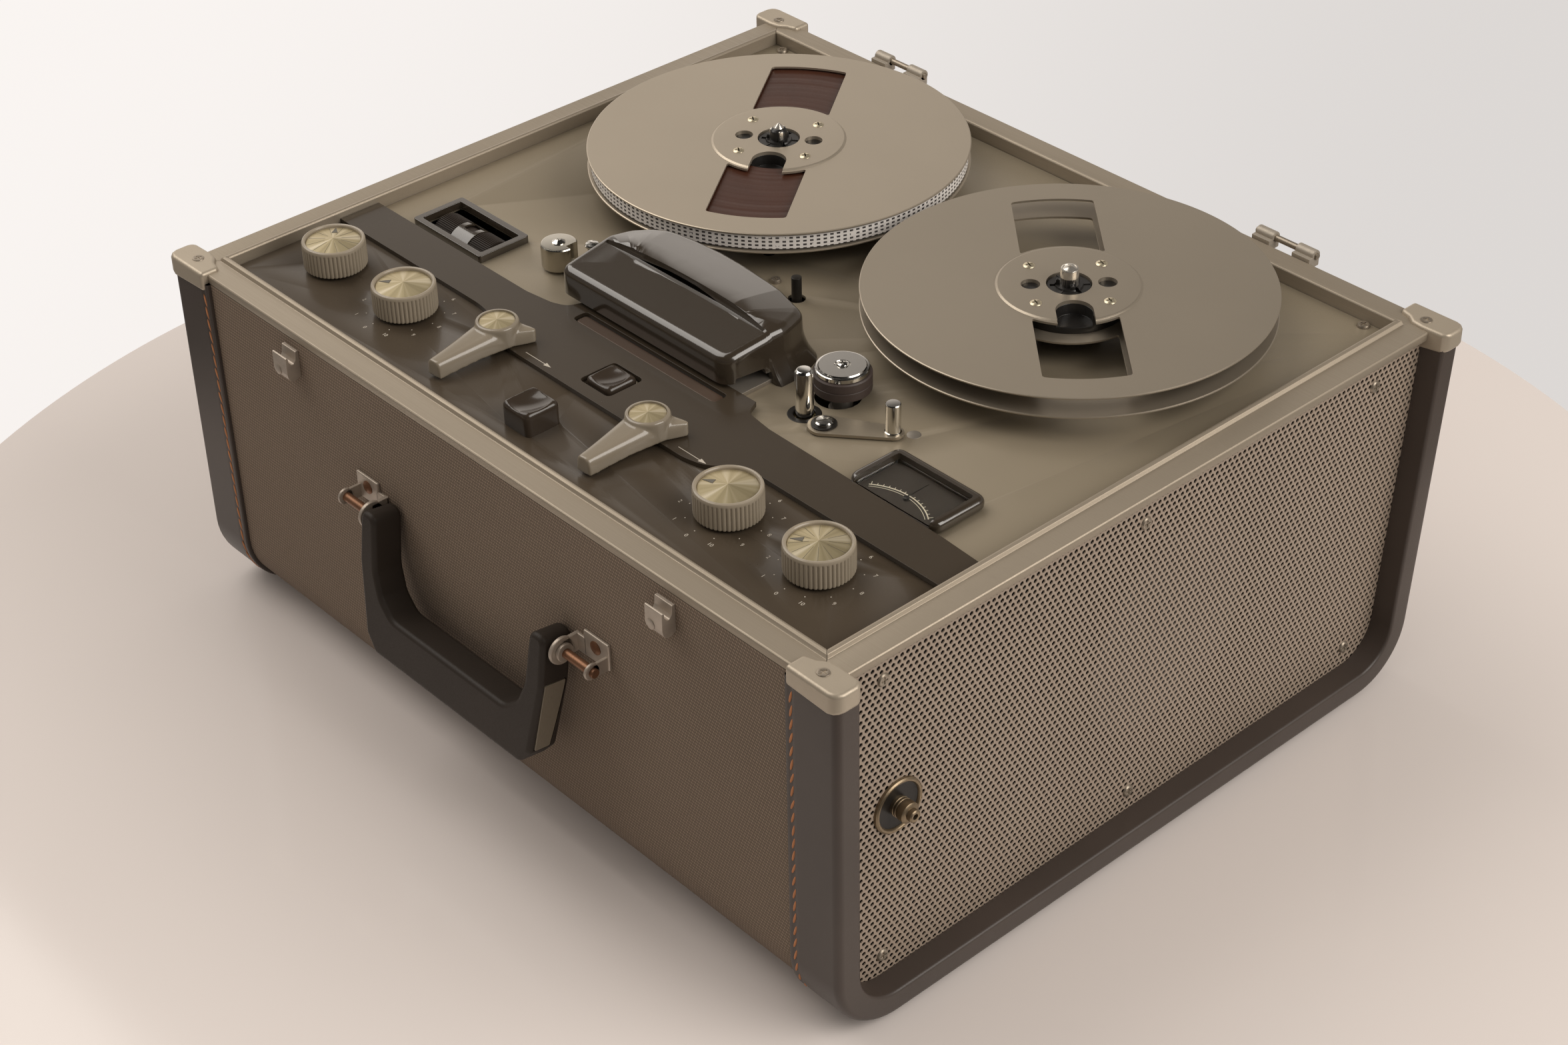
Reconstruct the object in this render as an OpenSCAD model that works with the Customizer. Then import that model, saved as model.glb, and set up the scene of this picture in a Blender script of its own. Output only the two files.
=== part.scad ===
// Portable reel-to-reel tape recorder, lid off, deck facing up.
// Origin: the underside of the case, below the middle of the rim. X right, Y back, Z up.
// Sizes are millimetres.

/* [Case] */
// Outer width of the aluminium rim
case_w = 418; // [412:1:460]
// Outer depth of the aluminium rim
case_d = 356; // [352:1:420]
// Height from the underside of the case to the top of the rim
case_h = 174; // [168:1:220]
// Thickness of the plywood walls
ply_t = 7; // [6:0.5:9]
// Thickness of the cloth covering
cloth_t = 1; // [0.8:0.1:1.5]
// Radius of the rounded front bottom edge
front_r = 31; // [24:1:36]
// Radius of the rounded back bottom edge
back_r = 29; // [24:1:36]
// How far the back wall leans in at the bottom
back_taper = 13; // [0:1:20]
// How far the top of the back wall stands behind the rim
back_bulge = 2; // [0:0.5:3]
// Height of the rubber feet
foot_h = 4; // [3:0.5:8]
// Radius of a rubber foot
foot_r = 9; // [6:1:12]

/* [Leather binding] */
// Thickness of the leather
leather_t = 2; // [1.5:0.1:2.5]
// Width of the leather on the front, bottom and back
leather_w = 28; // [22:1:34]
// How far the plywood ends stand past the rim at each side
end_overhang = 6; // [5:0.5:8]
// How deep the side grilles lie behind the plywood ends
grille_depth = 9.5; // [8:0.5:12]
// Thickness of the perforated side grilles
grille_t = 1; // [0.8:0.1:1.5]
// Thickness of the boards behind the grilles
board_t = 8; // [6:0.5:10]

/* [Rim] */
// Width of the flat band of the rim
band_w = 11.2; // [10:0.1:13]
// Height of the outer edge of the rim
rim_edge = 4; // [3:0.5:5]
// Height of the inner lip above the band
lip_h = 2; // [1:0.1:3]
// Width of the inner lip
lip_w = 3.3; // [3:0.1:4]
// Thickness of the corner caps above the rim
cap_t = 1.6; // [1.2:0.1:2.4]
// How far the corner caps reach along the front and back
cap_reach = 30; // [26:1:36]
// Width of the corner caps over the band
cap_inset = 10; // [8:0.5:10.5]

/* [Deck] */
// Depth of the deck below the rim
deck_drop = 5; // [4:0.5:7]
// Thickness of the deck plate
deck_t = 1.5; // [1.2:0.1:2.5]
// Thickness of the control panel
panel_t = 1.2; // [1:0.1:2]
// Height of the raised strip above the control panel
strip_t = 2.3; // [1.5:0.1:3.5]
// Distance from the front of the rim to the front of the strip
strip_front = 73.5; // [70:0.5:78]
// Distance from the front of the rim to the back of the strip
strip_back = 91; // [88:0.5:93]
// How far the wide middle of the strip comes forward
strip_swell = 13.5; // [10:0.5:16]

/* [Knobs] */
// Diameter of the fluted knobs
knob_d = 28.5; // [24:0.5:32]
// Height of the fluted knobs
knob_h = 13; // [9:0.5:16]
// Number of flutes round a knob
knob_flutes = 40; // [24:1:48]
// Distance from the front of the rim to the row of knobs
knob_row = 49.5; // [46:0.5:54]
// Distance from the left end of the rim to the selector knob
selector_in = 45.5; // [42:0.5:50]
// Distance from the left end of the rim to the listening volume knob
volume_in = 98; // [94:0.5:102]
// Distance from the right end of the rim to the radio level knob
radio_in = 108; // [104:0.5:112]
// Distance from the right end of the rim to the microphone level knob
microphone_in = 56.5; // [52:0.5:60]
// Radius of a control's shaft
shaft_r = 3; // [2.5:0.1:3.5]

/* [Levers and buttons] */
// Place of the fast winding lever across the deck
wind_x = -60; // [-64:0.5:-56]
// Place of the play lever across the deck
play_x = 39; // [35:0.5:43]
// Distance from the front of the rim to the lever shafts
lever_row = 61; // [58:0.5:64]
// Length of a lever from its shaft to its tip
lever_len = 36; // [30:0.5:40]
// Height of a lever's hub
lever_h = 10.5; // [8:0.5:13]
// Radius of a lever's hub
lever_r = 10; // [9:0.5:12]
// Place of the two buttons across the deck
button_x = -3; // [-5:0.5:0]
// Width of the buttons
button_w = 16; // [14:0.5:18]
// Height of the stop button above the control panel
stop_h = 9; // [7:0.5:12]
// Distance from the front of the rim to the stop button
stop_row = 34; // [32:0.5:36]
// Distance from the front of the rim to the record button
record_row = 76; // [75:0.5:77]
// Travel of the buttons
button_travel = 2.5; // [1:0.5:4]

/* [Reels] */
// Diameter of the reels
reel_d = 177.8; // [170:0.1:178.4]
// Width of a reel over its flanges
reel_w = 10; // [9:0.1:14]
// Thickness of a reel flange
flange_t = 1; // [0.8:0.1:1.6]
// Gap between the two reels
reel_gap = 5; // [3:0.5:8]
// Distance from the front of the rim to the middle of the reels
reel_row = 246.5; // [245:0.5:250]
// Place of the middle between the reels across the deck
reel_mid = 4.3; // [-6:0.1:6]
// Height of the underside of the reels above the deck
reel_lift = 11.3; // [9:0.1:14]
// How far the supply reel stands turned, in degrees
supply_turn = 126; // [0:1:360]
// How far the take-up reel stands turned, in degrees
takeup_turn = 139; // [0:1:360]
// Radius of the reel hubs
hub_r = 25.5; // [22:0.5:30]
// Radius of the spindles
spindle_r = 4; // [3.5:0.1:4.5]
// Radius of the wound tape
pack_r = 82; // [40:1:84]
// Width of the tape
tape_w = 6.4; // [5:0.1:7]

/* [Tape path] */
// Place of the capstan across the deck
capstan_x = 67.6; // [66:0.2:69]
// Distance from the front of the rim to the capstan
capstan_row = 120; // [118:0.5:121]
// Radius of the capstan
capstan_r = 3.9; // [3:0.1:4.5]
// Height of the capstan above the deck
capstan_h = 21.5; // [18:0.5:24]
// Radius of the pinch roller
pinch_r = 12.5; // [11:0.1:13]
// Gap between the pinch roller and the capstan at rest
pinch_gap = 5; // [3:0.1:6]
// Radius of the flywheel
flywheel_r = 45; // [38:1:48]
// Place of the tension arm's pivot across the deck
tension_x = 81; // [80:0.5:83]
// Distance from the front of the rim to the tension arm's pivot
tension_row = 118.5; // [117:0.5:120]
// Distance from the tension arm's pivot to its post
tension_len = 28.5; // [26:0.5:30]
// Height of the posts and guides above the deck
post_h = 14; // [12:0.5:16]
// Distance from the front of the rim to the front of the head cover
cover_row = 104; // [103:0.5:106]
// Wall thickness of the head cover
cover_t = 2; // [1.6:0.1:2.4]

/* [Meter and counter] */
// Width of the level meter's bezel
meter_w = 50; // [46:0.5:54]
// Depth of the level meter's bezel
meter_d = 29; // [26:0.5:31]
// Height of the level meter's bezel
meter_h = 6; // [4:0.5:8]
// Distance from the right end of the rim to the middle of the meter
meter_in = 67; // [63:0.5:69]
// Distance from the front of the rim to the middle of the meter
meter_row = 111.5; // [111:0.5:114]
// Width of the counter window
counter_w = 50; // [46:0.5:54]
// Depth of the counter window
counter_d = 28; // [27:0.5:30]
// Distance from the left end of the rim to the middle of the counter
counter_in = 62; // [60:0.5:65]
// Distance from the front of the rim to the middle of the counter
counter_row = 112; // [111:0.5:114]
// Radius of the counter's knurled wheels
counter_r = 10; // [9:0.1:10.2]

/* [Handle] */
// Outer width of the carry handle
handle_w = 124; // [110:1:140]
// Drop from the handle's pivots to the bottom of its grip
handle_drop = 60; // [54:1:64]
// Depth of the handle front to back
handle_depth = 14; // [11:0.5:15]
// Width of the handle's arms
arm_w = 9; // [8:0.5:12]
// Height of the grip
grip_h = 22; // [18:0.5:26]
// Height of the handle's pivots above the underside
pivot_up = 114; // [100:1:120]
// How far the handle hangs out from straight down, in degrees
handle_tilt = 10; // [10:0.5:16]
// Radius of the handle's pins
pin_r = 2.4; // [2:0.1:3]

/* [Hidden] */
$fn = 48;

// Clearances: a running shaft, a sliding or loose piece, and a hair between skins
run = 0.05;
loose = 0.4;
hair = 0.1;
// A small overlap used where one cut must pass right through a face
past = 1;
// Height of a cutter that stands on the underside and passes out above everything
tall = 2 * case_h;

// Levels
under_z = 0;
rim_z = under_z + case_h;
wall_top = rim_z - rim_edge;
band_under = rim_z - 2;
deck_z = rim_z - deck_drop;
deck_low = deck_z - deck_t;
panel_z = deck_z + panel_t;
strip_z = panel_z + strip_t;
floor_z = under_z + cloth_t + ply_t;

// Outline of the case seen from the side
front_y = -case_d / 2;
back_y = case_d / 2 + back_bulge;
lean = atan(back_taper / case_h);
shell_x = case_w / 2 + end_overhang;
leather_x = shell_x + leather_t;
grille_x = shell_x - grille_depth;
inner_in = cloth_t + ply_t;
front_c = [front_y + front_r, under_z + front_r];
back_cz = under_z + back_r;
back_c = [back_y + ((back_cz - rim_z) * sin(lean) - back_r) / cos(lean), back_cz];

// Rim: inner wall and the ledge that carries the deck
rim_in = band_w + lip_w;
ledge_w = 5.5;
ledge_t = 2;
deck_half_x = case_w / 2 - rim_in - 0.3;
deck_half_y = case_d / 2 - rim_in - 0.3;

// Rows measured from the front of the rim
knob_y = front_y + knob_row;
lever_y = front_y + lever_row;
stop_y = front_y + stop_row;
record_y = front_y + record_row;
capstan_y = front_y + capstan_row;
tension_y = front_y + tension_row;
meter_x = case_w / 2 - meter_in;
meter_y = front_y + meter_row;
counter_x = -case_w / 2 + counter_in;
counter_y = front_y + counter_row;
cover_y = front_y + cover_row;
strip_fy = front_y + strip_front;
strip_by = front_y + strip_back;
slot_y = cover_y - 5;

// Reels
reel_pitch = reel_d + reel_gap;
reel_y = front_y + reel_row;
supply_x = reel_mid - reel_pitch / 2;
takeup_x = reel_mid + reel_pitch / 2;
reel_low = deck_z + reel_lift;
reel_top = reel_low + reel_w;
table_r = hub_r - 3;
window_in = hub_r + 8;
window_out = reel_d / 2 - 14.5;
window_half = 18.3;
hub_bore = 9.8;
plate_r = hub_r + 4.9;
plate_t = 1.2;
table_t = 5;
wheel_r = 38;
bearing_r = 6;

// Drive under the deck
drive_z = deck_low - 22;
drive_h = 12;
motor_x = reel_mid;
motor_y = reel_y - 8;
motor_r = 34;
motor_h = 90;
pulley_r = 8;
belt_h = 5;
belt_t = 1;

// Tape path
pinch_pos = [capstan_x, capstan_y + capstan_r + pinch_r + pinch_gap];
pinch_arm_len = 42;
pinch_pivot = pinch_pos + [pinch_arm_len, 0];
tension_angle = 35;
guide_pos = [-95.5, cover_y + 18.5];
guide_r = 8.2;
guide_screw = [-83, cover_y + 27.5];
finger_pos = [-2.2, cover_y + 75.6];
shift_pivot = finger_pos + [-38, 18];
arm_z = deck_low - 7;
arm_t = 2.5;

// Head cover: ends of its front block, heights above the deck, and rows behind its front
cover_xl = -72;
cover_xr = 38;
cover_foot = 5.5;
cover_front_h = 18;
cover_ridge_h = 22;
cover_crest_h = 27;
ridge_back = 23;
crest_back = 43;
tape_way = 7.7;
head_plate_t = 2;

// Counter window
counter_wall = 2;
counter_deep = 20;
counter_axis_z = strip_z - counter_r - 1;

// Handle
pivot = [front_y - leather_t - 7, under_z + pivot_up];
bracket_x = handle_w / 2 + 4;
arm_end = 5;
bracket_w = 18;

selector_x = -case_w / 2 + selector_in;
volume_x = -case_w / 2 + volume_in;
radio_x = case_w / 2 - radio_in;
microphone_x = case_w / 2 - microphone_in;
control_xs = [selector_x, volume_x, radio_x, microphone_x];
lever_xs = [wind_x, play_x];
reel_xs = [supply_x, takeup_x];
grille_screw_ys = [front_y + 32, (front_y + back_y) / 2 - 4, back_y - 40];
socket_at = [front_y + 39.7, under_z + 93.3];
inlet_at = [case_d / 2 - 46, under_z + 56];
speaker_at = [24, under_z + 90];
speaker_r = 60;
chassis = [240, 110, 40];

// Side view of the case, drawn smaller all round by inset, up to the height top
module side_outline(inset, top = wall_top) {
    out = [cos(lean), -sin(lean)];
    r_back = back_r - inset;
    back_top = back_y - inset / cos(lean) - (rim_z - top) * tan(lean);
    union() {
        polygon([[front_y + inset, top], [front_y + inset, front_c.y],
                 [front_c.x, under_z + inset], [back_c.x, under_z + inset],
                 back_c + r_back * out, [back_top, top]]);
        translate(front_c) circle(front_r - inset);
        translate(back_c) circle(r_back);
    }
}

// A solid from x = from to x = to, with the drawing standing in the YZ plane
module along_x(from, to) {
    translate([from, 0, 0]) rotate([90, 0, 90]) linear_extrude(to - from) children();
}

// The same solid on the right side and, mirrored, on the left
module both_sides() {
    children();
    mirror([1, 0, 0]) children();
}

module side_ring(outer, inner, top = wall_top) {
    difference() {
        side_outline(outer, top);
        side_outline(inner, top + past);
    }
}

module box(low, high) {
    translate(low) cube(high - low);
}

module round_box(size, r, h) {
    linear_extrude(h) union() {
        square([size.x - 2 * r, size.y], center = true);
        square([size.x, size.y - 2 * r], center = true);
        for (sx = [-1, 1], sy = [-1, 1])
            translate([sx * (size.x / 2 - r), sy * (size.y / 2 - r)]) circle(r);
    }
}

// A flat link with round ends, from a to b; neck under 1 makes the bar narrower than them
module link(a, b, ra, rb, t, neck = 1) {
    d = b - a;
    side = [-d.y, d.x] * neck / norm(d);
    linear_extrude(t) union() {
        translate(a) circle(ra);
        translate(b) circle(rb);
        polygon([a + side * ra, a - side * ra, b - side * rb, b + side * rb]);
    }
}

module case_shell() {
    color("burlywood") along_x(-shell_x, shell_x) side_ring(cloth_t, inner_in);
}

module case_cloth() {
    color([0.35, 0.31, 0.25]) along_x(-shell_x, shell_x) side_ring(0, cloth_t);
}

module leather_bindings() {
    lip_in = inner_in + leather_t;
    color([0.22, 0.19, 0.17]) both_sides() union() {
        along_x(leather_x - leather_w, leather_x) side_ring(-leather_t, 0);
        along_x(shell_x, leather_x) side_ring(-leather_t, lip_in);
        along_x(grille_x, leather_x) side_ring(inner_in, lip_in);
    }
}

module end_boards() {
    inner = grille_x - grille_t - board_t;
    color("tan") difference() {
        both_sides() difference() {
            along_x(inner, grille_x - grille_t) side_outline(inner_in + hair, band_under);
            translate([inner - past, speaker_at.x, speaker_at.y]) rotate([0, 90, 0])
                cylinder(h = board_t + 2 * past, r = speaker_r - 8);
        }
        side_holes();
    }
}

// Holes for the socket on the right and the inlet on the left, through grille and board
module side_holes() {
    reach = board_t + grille_t + 2 * past;
    for (side = [0, 1]) {
        at = side == 0 ? socket_at : inlet_at;
        mirror([side, 0, 0]) translate([grille_x + past - reach, at.x, at.y])
            rotate([0, 90, 0]) cylinder(h = reach, r = 8);
    }
}

module side_grilles() {
    color([0.62, 0.57, 0.49]) difference() {
        both_sides() along_x(grille_x - grille_t, grille_x)
            side_outline(inner_in + hair, wall_top);
        side_holes();
    }
}

module rubber_feet() {
    color("dimgray") for (sx = [-1, 1], y = [front_y + 50, back_y - 60])
        translate([sx * (case_w / 2 - 40), y, under_z - foot_h])
            cylinder(h = foot_h, r1 = foot_r - 1, r2 = foot_r);
}

// Cross-section of the rim: x runs inwards, y is the height above the rim's top
module rim_section() {
    deck_seat = -deck_drop - deck_t;
    polygon([[0, -rim_edge], [3, -rim_edge], [3, -2], [band_w + 1.5, -2],
             [band_w + 1.5, deck_seat - ledge_t], [rim_in + ledge_w, deck_seat - ledge_t],
             [rim_in + ledge_w, deck_seat], [rim_in, deck_seat], [rim_in, lip_h - 0.9],
             [rim_in - 0.6, lip_h - 0.2], [rim_in - 1.4, lip_h], [band_w + 0.7, lip_h - 0.4],
             [band_w, 0], [0.6, 0], [0, -0.6]]);
}

// One rim bar along the front edge, mitred at both ends
module rim_bar(length, depth) {
    reach = rim_in + ledge_w + 2;
    intersection() {
        translate([-length / 2, -depth / 2, rim_z]) rotate([90, 0, 90])
            linear_extrude(length) rim_section();
        translate([0, 0, rim_z - 30]) linear_extrude(60)
            polygon([[-length / 2 + hair - past, -depth / 2 - past],
                     [length / 2 - hair + past, -depth / 2 - past],
                     [length / 2 - hair - reach, -depth / 2 + reach],
                     [-length / 2 + hair + reach, -depth / 2 + reach]]);
    }
}

module rim_bars() {
    color([0.78, 0.76, 0.70]) for (turn = [0, 180]) {
        rotate(turn) rim_bar(case_w, case_d);
        rotate(turn + 90) rim_bar(case_d, case_w);
    }
}

// One cast cap over a corner of the rim and the top of the leather
module corner_cap(face_y) {
    skirt = 2.5;
    wall = 1.3;
    out_x = leather_x + wall;
    out_y = face_y + wall;
    in_y = case_d / 2 - cap_inset;
    screw = cap_screw_at();
    difference() {
        union() {
            box([out_x - cap_reach, in_y, wall_top - skirt], [out_x - 4, out_y, rim_z + cap_t]);
            box([out_x - cap_reach, in_y, wall_top - skirt], [out_x, out_y - 4, rim_z + cap_t]);
            translate([out_x - 4, out_y - 4, wall_top - skirt])
                cylinder(h = skirt + rim_edge + cap_t, r = 4);
        }
        box([0, 0, wall_top - skirt - past], [case_w / 2 + hair, case_d / 2 + hair, rim_z]);
        box([0, 0, wall_top - skirt - past], [leather_x + hair, face_y, wall_top]);
        translate([screw.x, screw.y, rim_z - past]) cylinder(h = cap_t + 2 * past, r = 3.4);
    }
}

function cap_screw_at() = [case_w / 2 - 5.2, case_d / 2 - 4];

module corner_caps() {
    color([0.70, 0.69, 0.66]) both_sides() {
        corner_cap(back_y + leather_t);
        mirror([0, 1, 0]) corner_cap(-front_y + leather_t + hair);
    }
}

// A pan-headed screw with a cross slot, standing on height z
module screw_head(r, h) {
    difference() {
        cylinder(h = h, r1 = r, r2 = r * 0.8);
        for (turn = [0, 90]) rotate(turn)
            translate([-r * 0.55, -0.3, h - 0.5]) cube([r * 1.1, 0.6, past]);
    }
}

module case_screws() {
    at = cap_screw_at();
    color("silver") {
        for (sx = [-1, 1], sy = [-1, 1])
            translate([sx * at.x, sy * at.y, rim_z]) screw_head(3.2, cap_t + 0.3);
        for (x = [-deck_half_x + 8, deck_half_x - 12])
            translate([x, deck_half_y - 3, deck_z]) screw_head(3, 1.2);
        translate([finger_pos.x - 17, finger_pos.y + 3, deck_z]) screw_head(2.6, 1.6);
        both_sides() for (y = grille_screw_ys, z = [floor_z + 12, wall_top - 12])
            translate([grille_x, y, z]) rotate([0, 90, 0]) screw_head(3, 0.9);
    }
}

// Lid hinge halves: two barrels on a leaf, with the pin bare between them
module lid_hinges() {
    barrel_r = 2.6;
    pin = 1.6;
    gap = 15;
    barrel = 12;
    y = back_y + barrel_r + 0.5;
    z = rim_z + barrel_r - 1;
    for (x = [-case_w * 0.296, case_w * 0.29]) {
        color("gray") for (side = [-1, 1]) translate([x, 0, 0]) difference() {
            from = side > 0 ? gap / 2 : -gap / 2 - barrel;
            union() {
                translate([from, y, z]) rotate([0, 90, 0]) cylinder(h = barrel, r = barrel_r);
                box([from, case_d / 2 + 0.05, wall_top + 0.2], [from + barrel, y, z]);
            }
            translate([from - past, y, z]) rotate([0, 90, 0])
                cylinder(h = barrel + 2 * past, r = pin);
        }
        color("silver") translate([x - gap / 2 - barrel, y, z]) rotate([0, 90, 0])
            cylinder(h = gap + 2 * barrel, r = pin);
    }
}

// Cast hooks on the front that the lid's latches catch
module latch_catches() {
    w = 17;
    z = wall_top - 21;
    color([0.80, 0.79, 0.76]) for (x = [-case_w * 0.315, case_w * 0.285])
        translate([x - w / 2, front_y, z]) difference() {
            union() {
                translate([0, -2.2, 0]) cube([w, 2.2, 15]);
                translate([0, -6.5, 0]) cube([w, 6.5, 3]);
                translate([0, -6.5, 0]) cube([5, 2.3, 11]);
                translate([w - 5, -6.5, 0]) cube([5, 2.3, 11]);
            }
            translate([w / 2, -past, 11]) rotate([90, 0, 0]) cylinder(h = 4, r = 2.6);
        }
}

// Stamped brackets with a curled knuckle each side of the handle, with their pins
module handle_brackets() {
    knuckle_r = pin_r + 2;
    for (side = [0, 1]) mirror([side, 0, 0]) {
        color("darkgray") difference() {
            union() {
                box([bracket_x, front_y - 1.6, pivot.y - 6],
                    [bracket_x + bracket_w, front_y, pivot.y + 16]);
                for (x = [bracket_x, bracket_x + bracket_w - 4]) {
                    translate([x, pivot.x, pivot.y]) rotate([0, 90, 0])
                        cylinder(h = 4, r = knuckle_r);
                    box([x, pivot.x, pivot.y], [x + 4, front_y, pivot.y + knuckle_r]);
                }
            }
            translate([bracket_x - past, pivot.x, pivot.y]) rotate([0, 90, 0])
                cylinder(h = bracket_w + 2 * past, r = pin_r);
            translate([bracket_x + bracket_w / 2, front_y + past, pivot.y + 10])
                rotate([90, 0, 0]) cylinder(h = 4, r = 2.4);
        }
        color("saddlebrown") translate([handle_w / 2 - arm_w + 1, pivot.x, pivot.y])
            rotate([0, 90, 0]) cylinder(h = bracket_x + bracket_w + 3 - handle_w / 2 + arm_w, r = pin_r);
    }
}

// The handle in its own frame: pivots on the X axis, hanging down
module handle_pose() {
    translate([0, pivot.x, pivot.y]) rotate([-handle_tilt, 0, 0]) children();
}

// Outline of the handle seen from the front
module handle_front(inset) {
    half = handle_w / 2 - inset;
    low = -handle_drop + inset;
    corner = 8;
    above = arm_end + past;
    difference() {
        union() {
            polygon([[-half, 0], [-half, low + corner], [-half + corner, low],
                     [half - corner, low], [half, low + corner], [half, 0]]);
            for (side = [-1, 1]) translate([side * (handle_w / 2 - arm_w / 2), 0])
                square([arm_w - 2 * inset, 2 * arm_end], center = true);
        }
        polygon([[-half + arm_w - 2 * inset, above], [-half + arm_w - 2 * inset, low + grip_h + 4],
                 [-half + arm_w + 4, low + grip_h], [half - arm_w - 4, low + grip_h],
                 [half - arm_w + 2 * inset, low + grip_h + 4], [half - arm_w + 2 * inset, above]]);
    }
}

module handle_grip() {
    inlay = 1.2;
    color([0.24, 0.21, 0.19]) handle_pose() difference() {
        union() {
            translate([0, handle_depth / 2 - 2, 0]) rotate([90, 0, 0])
                linear_extrude(handle_depth - 4) handle_front(0);
            translate([0, handle_depth / 2, 0]) rotate([90, 0, 0])
                linear_extrude(handle_depth) handle_front(1.5);
        }
        for (side = [0, 1]) mirror([side, 0, 0]) {
            translate([handle_w / 2 - arm_w - past, 0, 0]) rotate([0, 90, 0])
                cylinder(h = arm_w + 2 * past, r = pin_r + run);
            handle_inlay(inlay, hair);
        }
    }
}

module handle_inlay(depth, gap) {
    w = handle_depth - 6;
    translate([handle_w / 2 - depth - gap, -w / 2 - gap, -handle_drop + 11 - gap])
        cube([depth + 2 * gap, w + 2 * gap, handle_drop - 20 + 2 * gap]);
}

module handle_inlays() {
    color("silver") handle_pose() both_sides()
        translate([-hair, 0, 0]) handle_inlay(1.2 - hair, 0);
}

// Input socket on the right grille and mains inlet on the left one
module side_sockets() {
    color("goldenrod") translate([grille_x, socket_at.x, socket_at.y]) rotate([0, 90, 0]) difference() {
        union() {
            cylinder(h = 2, r = 12.5);
            translate([0, 0, -board_t]) cylinder(h = board_t + 1, r = 7.6);
            cylinder(h = 10, r = 5);
        }
        translate([0, 0, 1]) cylinder(h = 10, r = 2.5);
    }
    color("dimgray") mirror([1, 0, 0]) translate([grille_x, inlet_at.x, inlet_at.y])
        rotate([0, 90, 0]) difference() {
            union() {
                cylinder(h = 2, r = 14);
                translate([0, 0, -board_t]) cylinder(h = board_t + 1, r = 7.6);
            }
            for (y = [-3.5, 3.5]) translate([0, y, -board_t + 2]) cylinder(h = board_t + 2, r = 1.6);
        }
}

module speakers() {
    back = grille_x - grille_t - board_t;
    color("dimgray") both_sides() translate([back, speaker_at.x, speaker_at.y])
        rotate([0, -90, 0]) rotate_extrude() polygon([[speaker_r - 10, 0], [speaker_r, 0],
            [speaker_r, 2], [speaker_r - 9, 2], [24, 22], [24, 40], [0, 40], [0, 18], [18, 18]]);
}

module amplifier_chassis() {
    low = [-chassis.x / 2 - 10, front_y + 30, floor_z];
    sheet = [1.5, 1.5, 1.5];
    color("silver") difference() {
        box(low, low + chassis);
        box([low.x + sheet.x, low.y + sheet.y, low.z - past], low + chassis - sheet);
    }
}

module amplifier_valves() {
    color("whitesmoke") for (i = [0:3])
        translate([35 * i - 105, front_y + 60, floor_z + chassis.z]) rotate_extrude()
            polygon([[0, 0], [10, 0], [10, 8], [9, 8], [9, 40], [4, 46], [0, 47]]);
}

module transformer() {
    base = [55, 55, 8];
    stack = [43, 43, 38];
    color("slategray") translate([67.5, front_y + 82.5, floor_z + chassis.z]) union() {
        box([-base.x / 2, -base.y / 2, 0], [base.x / 2, base.y / 2, base.z]);
        box([-stack.x / 2, -stack.y / 2, base.z], [stack.x / 2, stack.y / 2, base.z + stack.z]);
    }
}

// Motor can on three posts that hang from the deck
module motor() {
    can_top = drive_z - 3;
    color("gray") difference() {
        translate([motor_x, motor_y, 0]) union() {
            translate([0, 0, can_top - motor_h]) cylinder(h = motor_h, r = motor_r);
            for (turn = [40, 130, 220]) rotate(turn)
                translate([motor_r - 5, 0, can_top - past]) cylinder(h = deck_low - can_top + past, r = 4);
        }
        translate([motor_x, motor_y, can_top - 40]) cylinder(h = 41, r = shaft_r + run);
    }
}

module motor_pulley() {
    color("goldenrod") translate([motor_x, motor_y, 0]) union() {
        translate([0, 0, drive_z]) cylinder(h = drive_h, r = pulley_r);
        translate([0, 0, drive_z - 40]) cylinder(h = 40 + past, r = shaft_r);
    }
}

// Both pulleys with the straight runs of the belt, drawn larger by grow
module belt_outline(grow) {
    a = [motor_x, motor_y];
    b = [capstan_x, capstan_y];
    ra = pulley_r + grow;
    rb = flywheel_r + grow;
    d = b - a;
    turn = atan2(d.y, d.x);
    open = acos((ra - rb) / norm(d));
    union() {
        translate(a) circle(ra);
        translate(b) circle(rb);
        polygon([for (s = [1, -1]) a + ra * [cos(turn + s * open), sin(turn + s * open)],
                 for (s = [-1, 1]) b + rb * [cos(turn + s * open), sin(turn + s * open)]]);
    }
}

module drive_belt() {
    color("black") translate([0, 0, drive_z + 4]) linear_extrude(belt_h) difference() {
        belt_outline(0.25 + belt_t);
        belt_outline(0.25);
    }
}

module flywheel() {
    color("darkgray") translate([capstan_x, capstan_y, drive_z]) difference() {
        union() {
            difference() {
                cylinder(h = drive_h, r = flywheel_r);
                translate([0, 0, 5]) cylinder(h = drive_h, r = flywheel_r - 7);
            }
            cylinder(h = drive_h, r = 10);
        }
        translate([0, 0, -past]) cylinder(h = drive_h + 2 * past, r = capstan_r);
    }
}

module capstan() {
    low = drive_z - 20;
    color("silver") translate([capstan_x, capstan_y, 0]) union() {
        translate([0, 0, low]) cylinder(h = deck_z + capstan_h - 1 - low, r = capstan_r);
        translate([0, 0, deck_z + capstan_h - 1]) cylinder(h = 1, r1 = capstan_r, r2 = capstan_r - 1);
    }
}

// Bearing tube under the deck that the capstan runs in
module capstan_bearing() {
    color("peru") translate([capstan_x, capstan_y, 0]) difference() {
        union() {
            translate([0, 0, deck_low - 2]) cylinder(h = 2, r = 9);
            translate([0, 0, deck_low - 9]) cylinder(h = 8, r = 7.5);
        }
        translate([0, 0, deck_low - 9 - past]) cylinder(h = 12, r = capstan_r + run);
    }
}

module control_holes(r) {
    for (x = control_xs) translate([x, knob_y, 0]) cylinder(h = tall, r = r);
}

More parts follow.
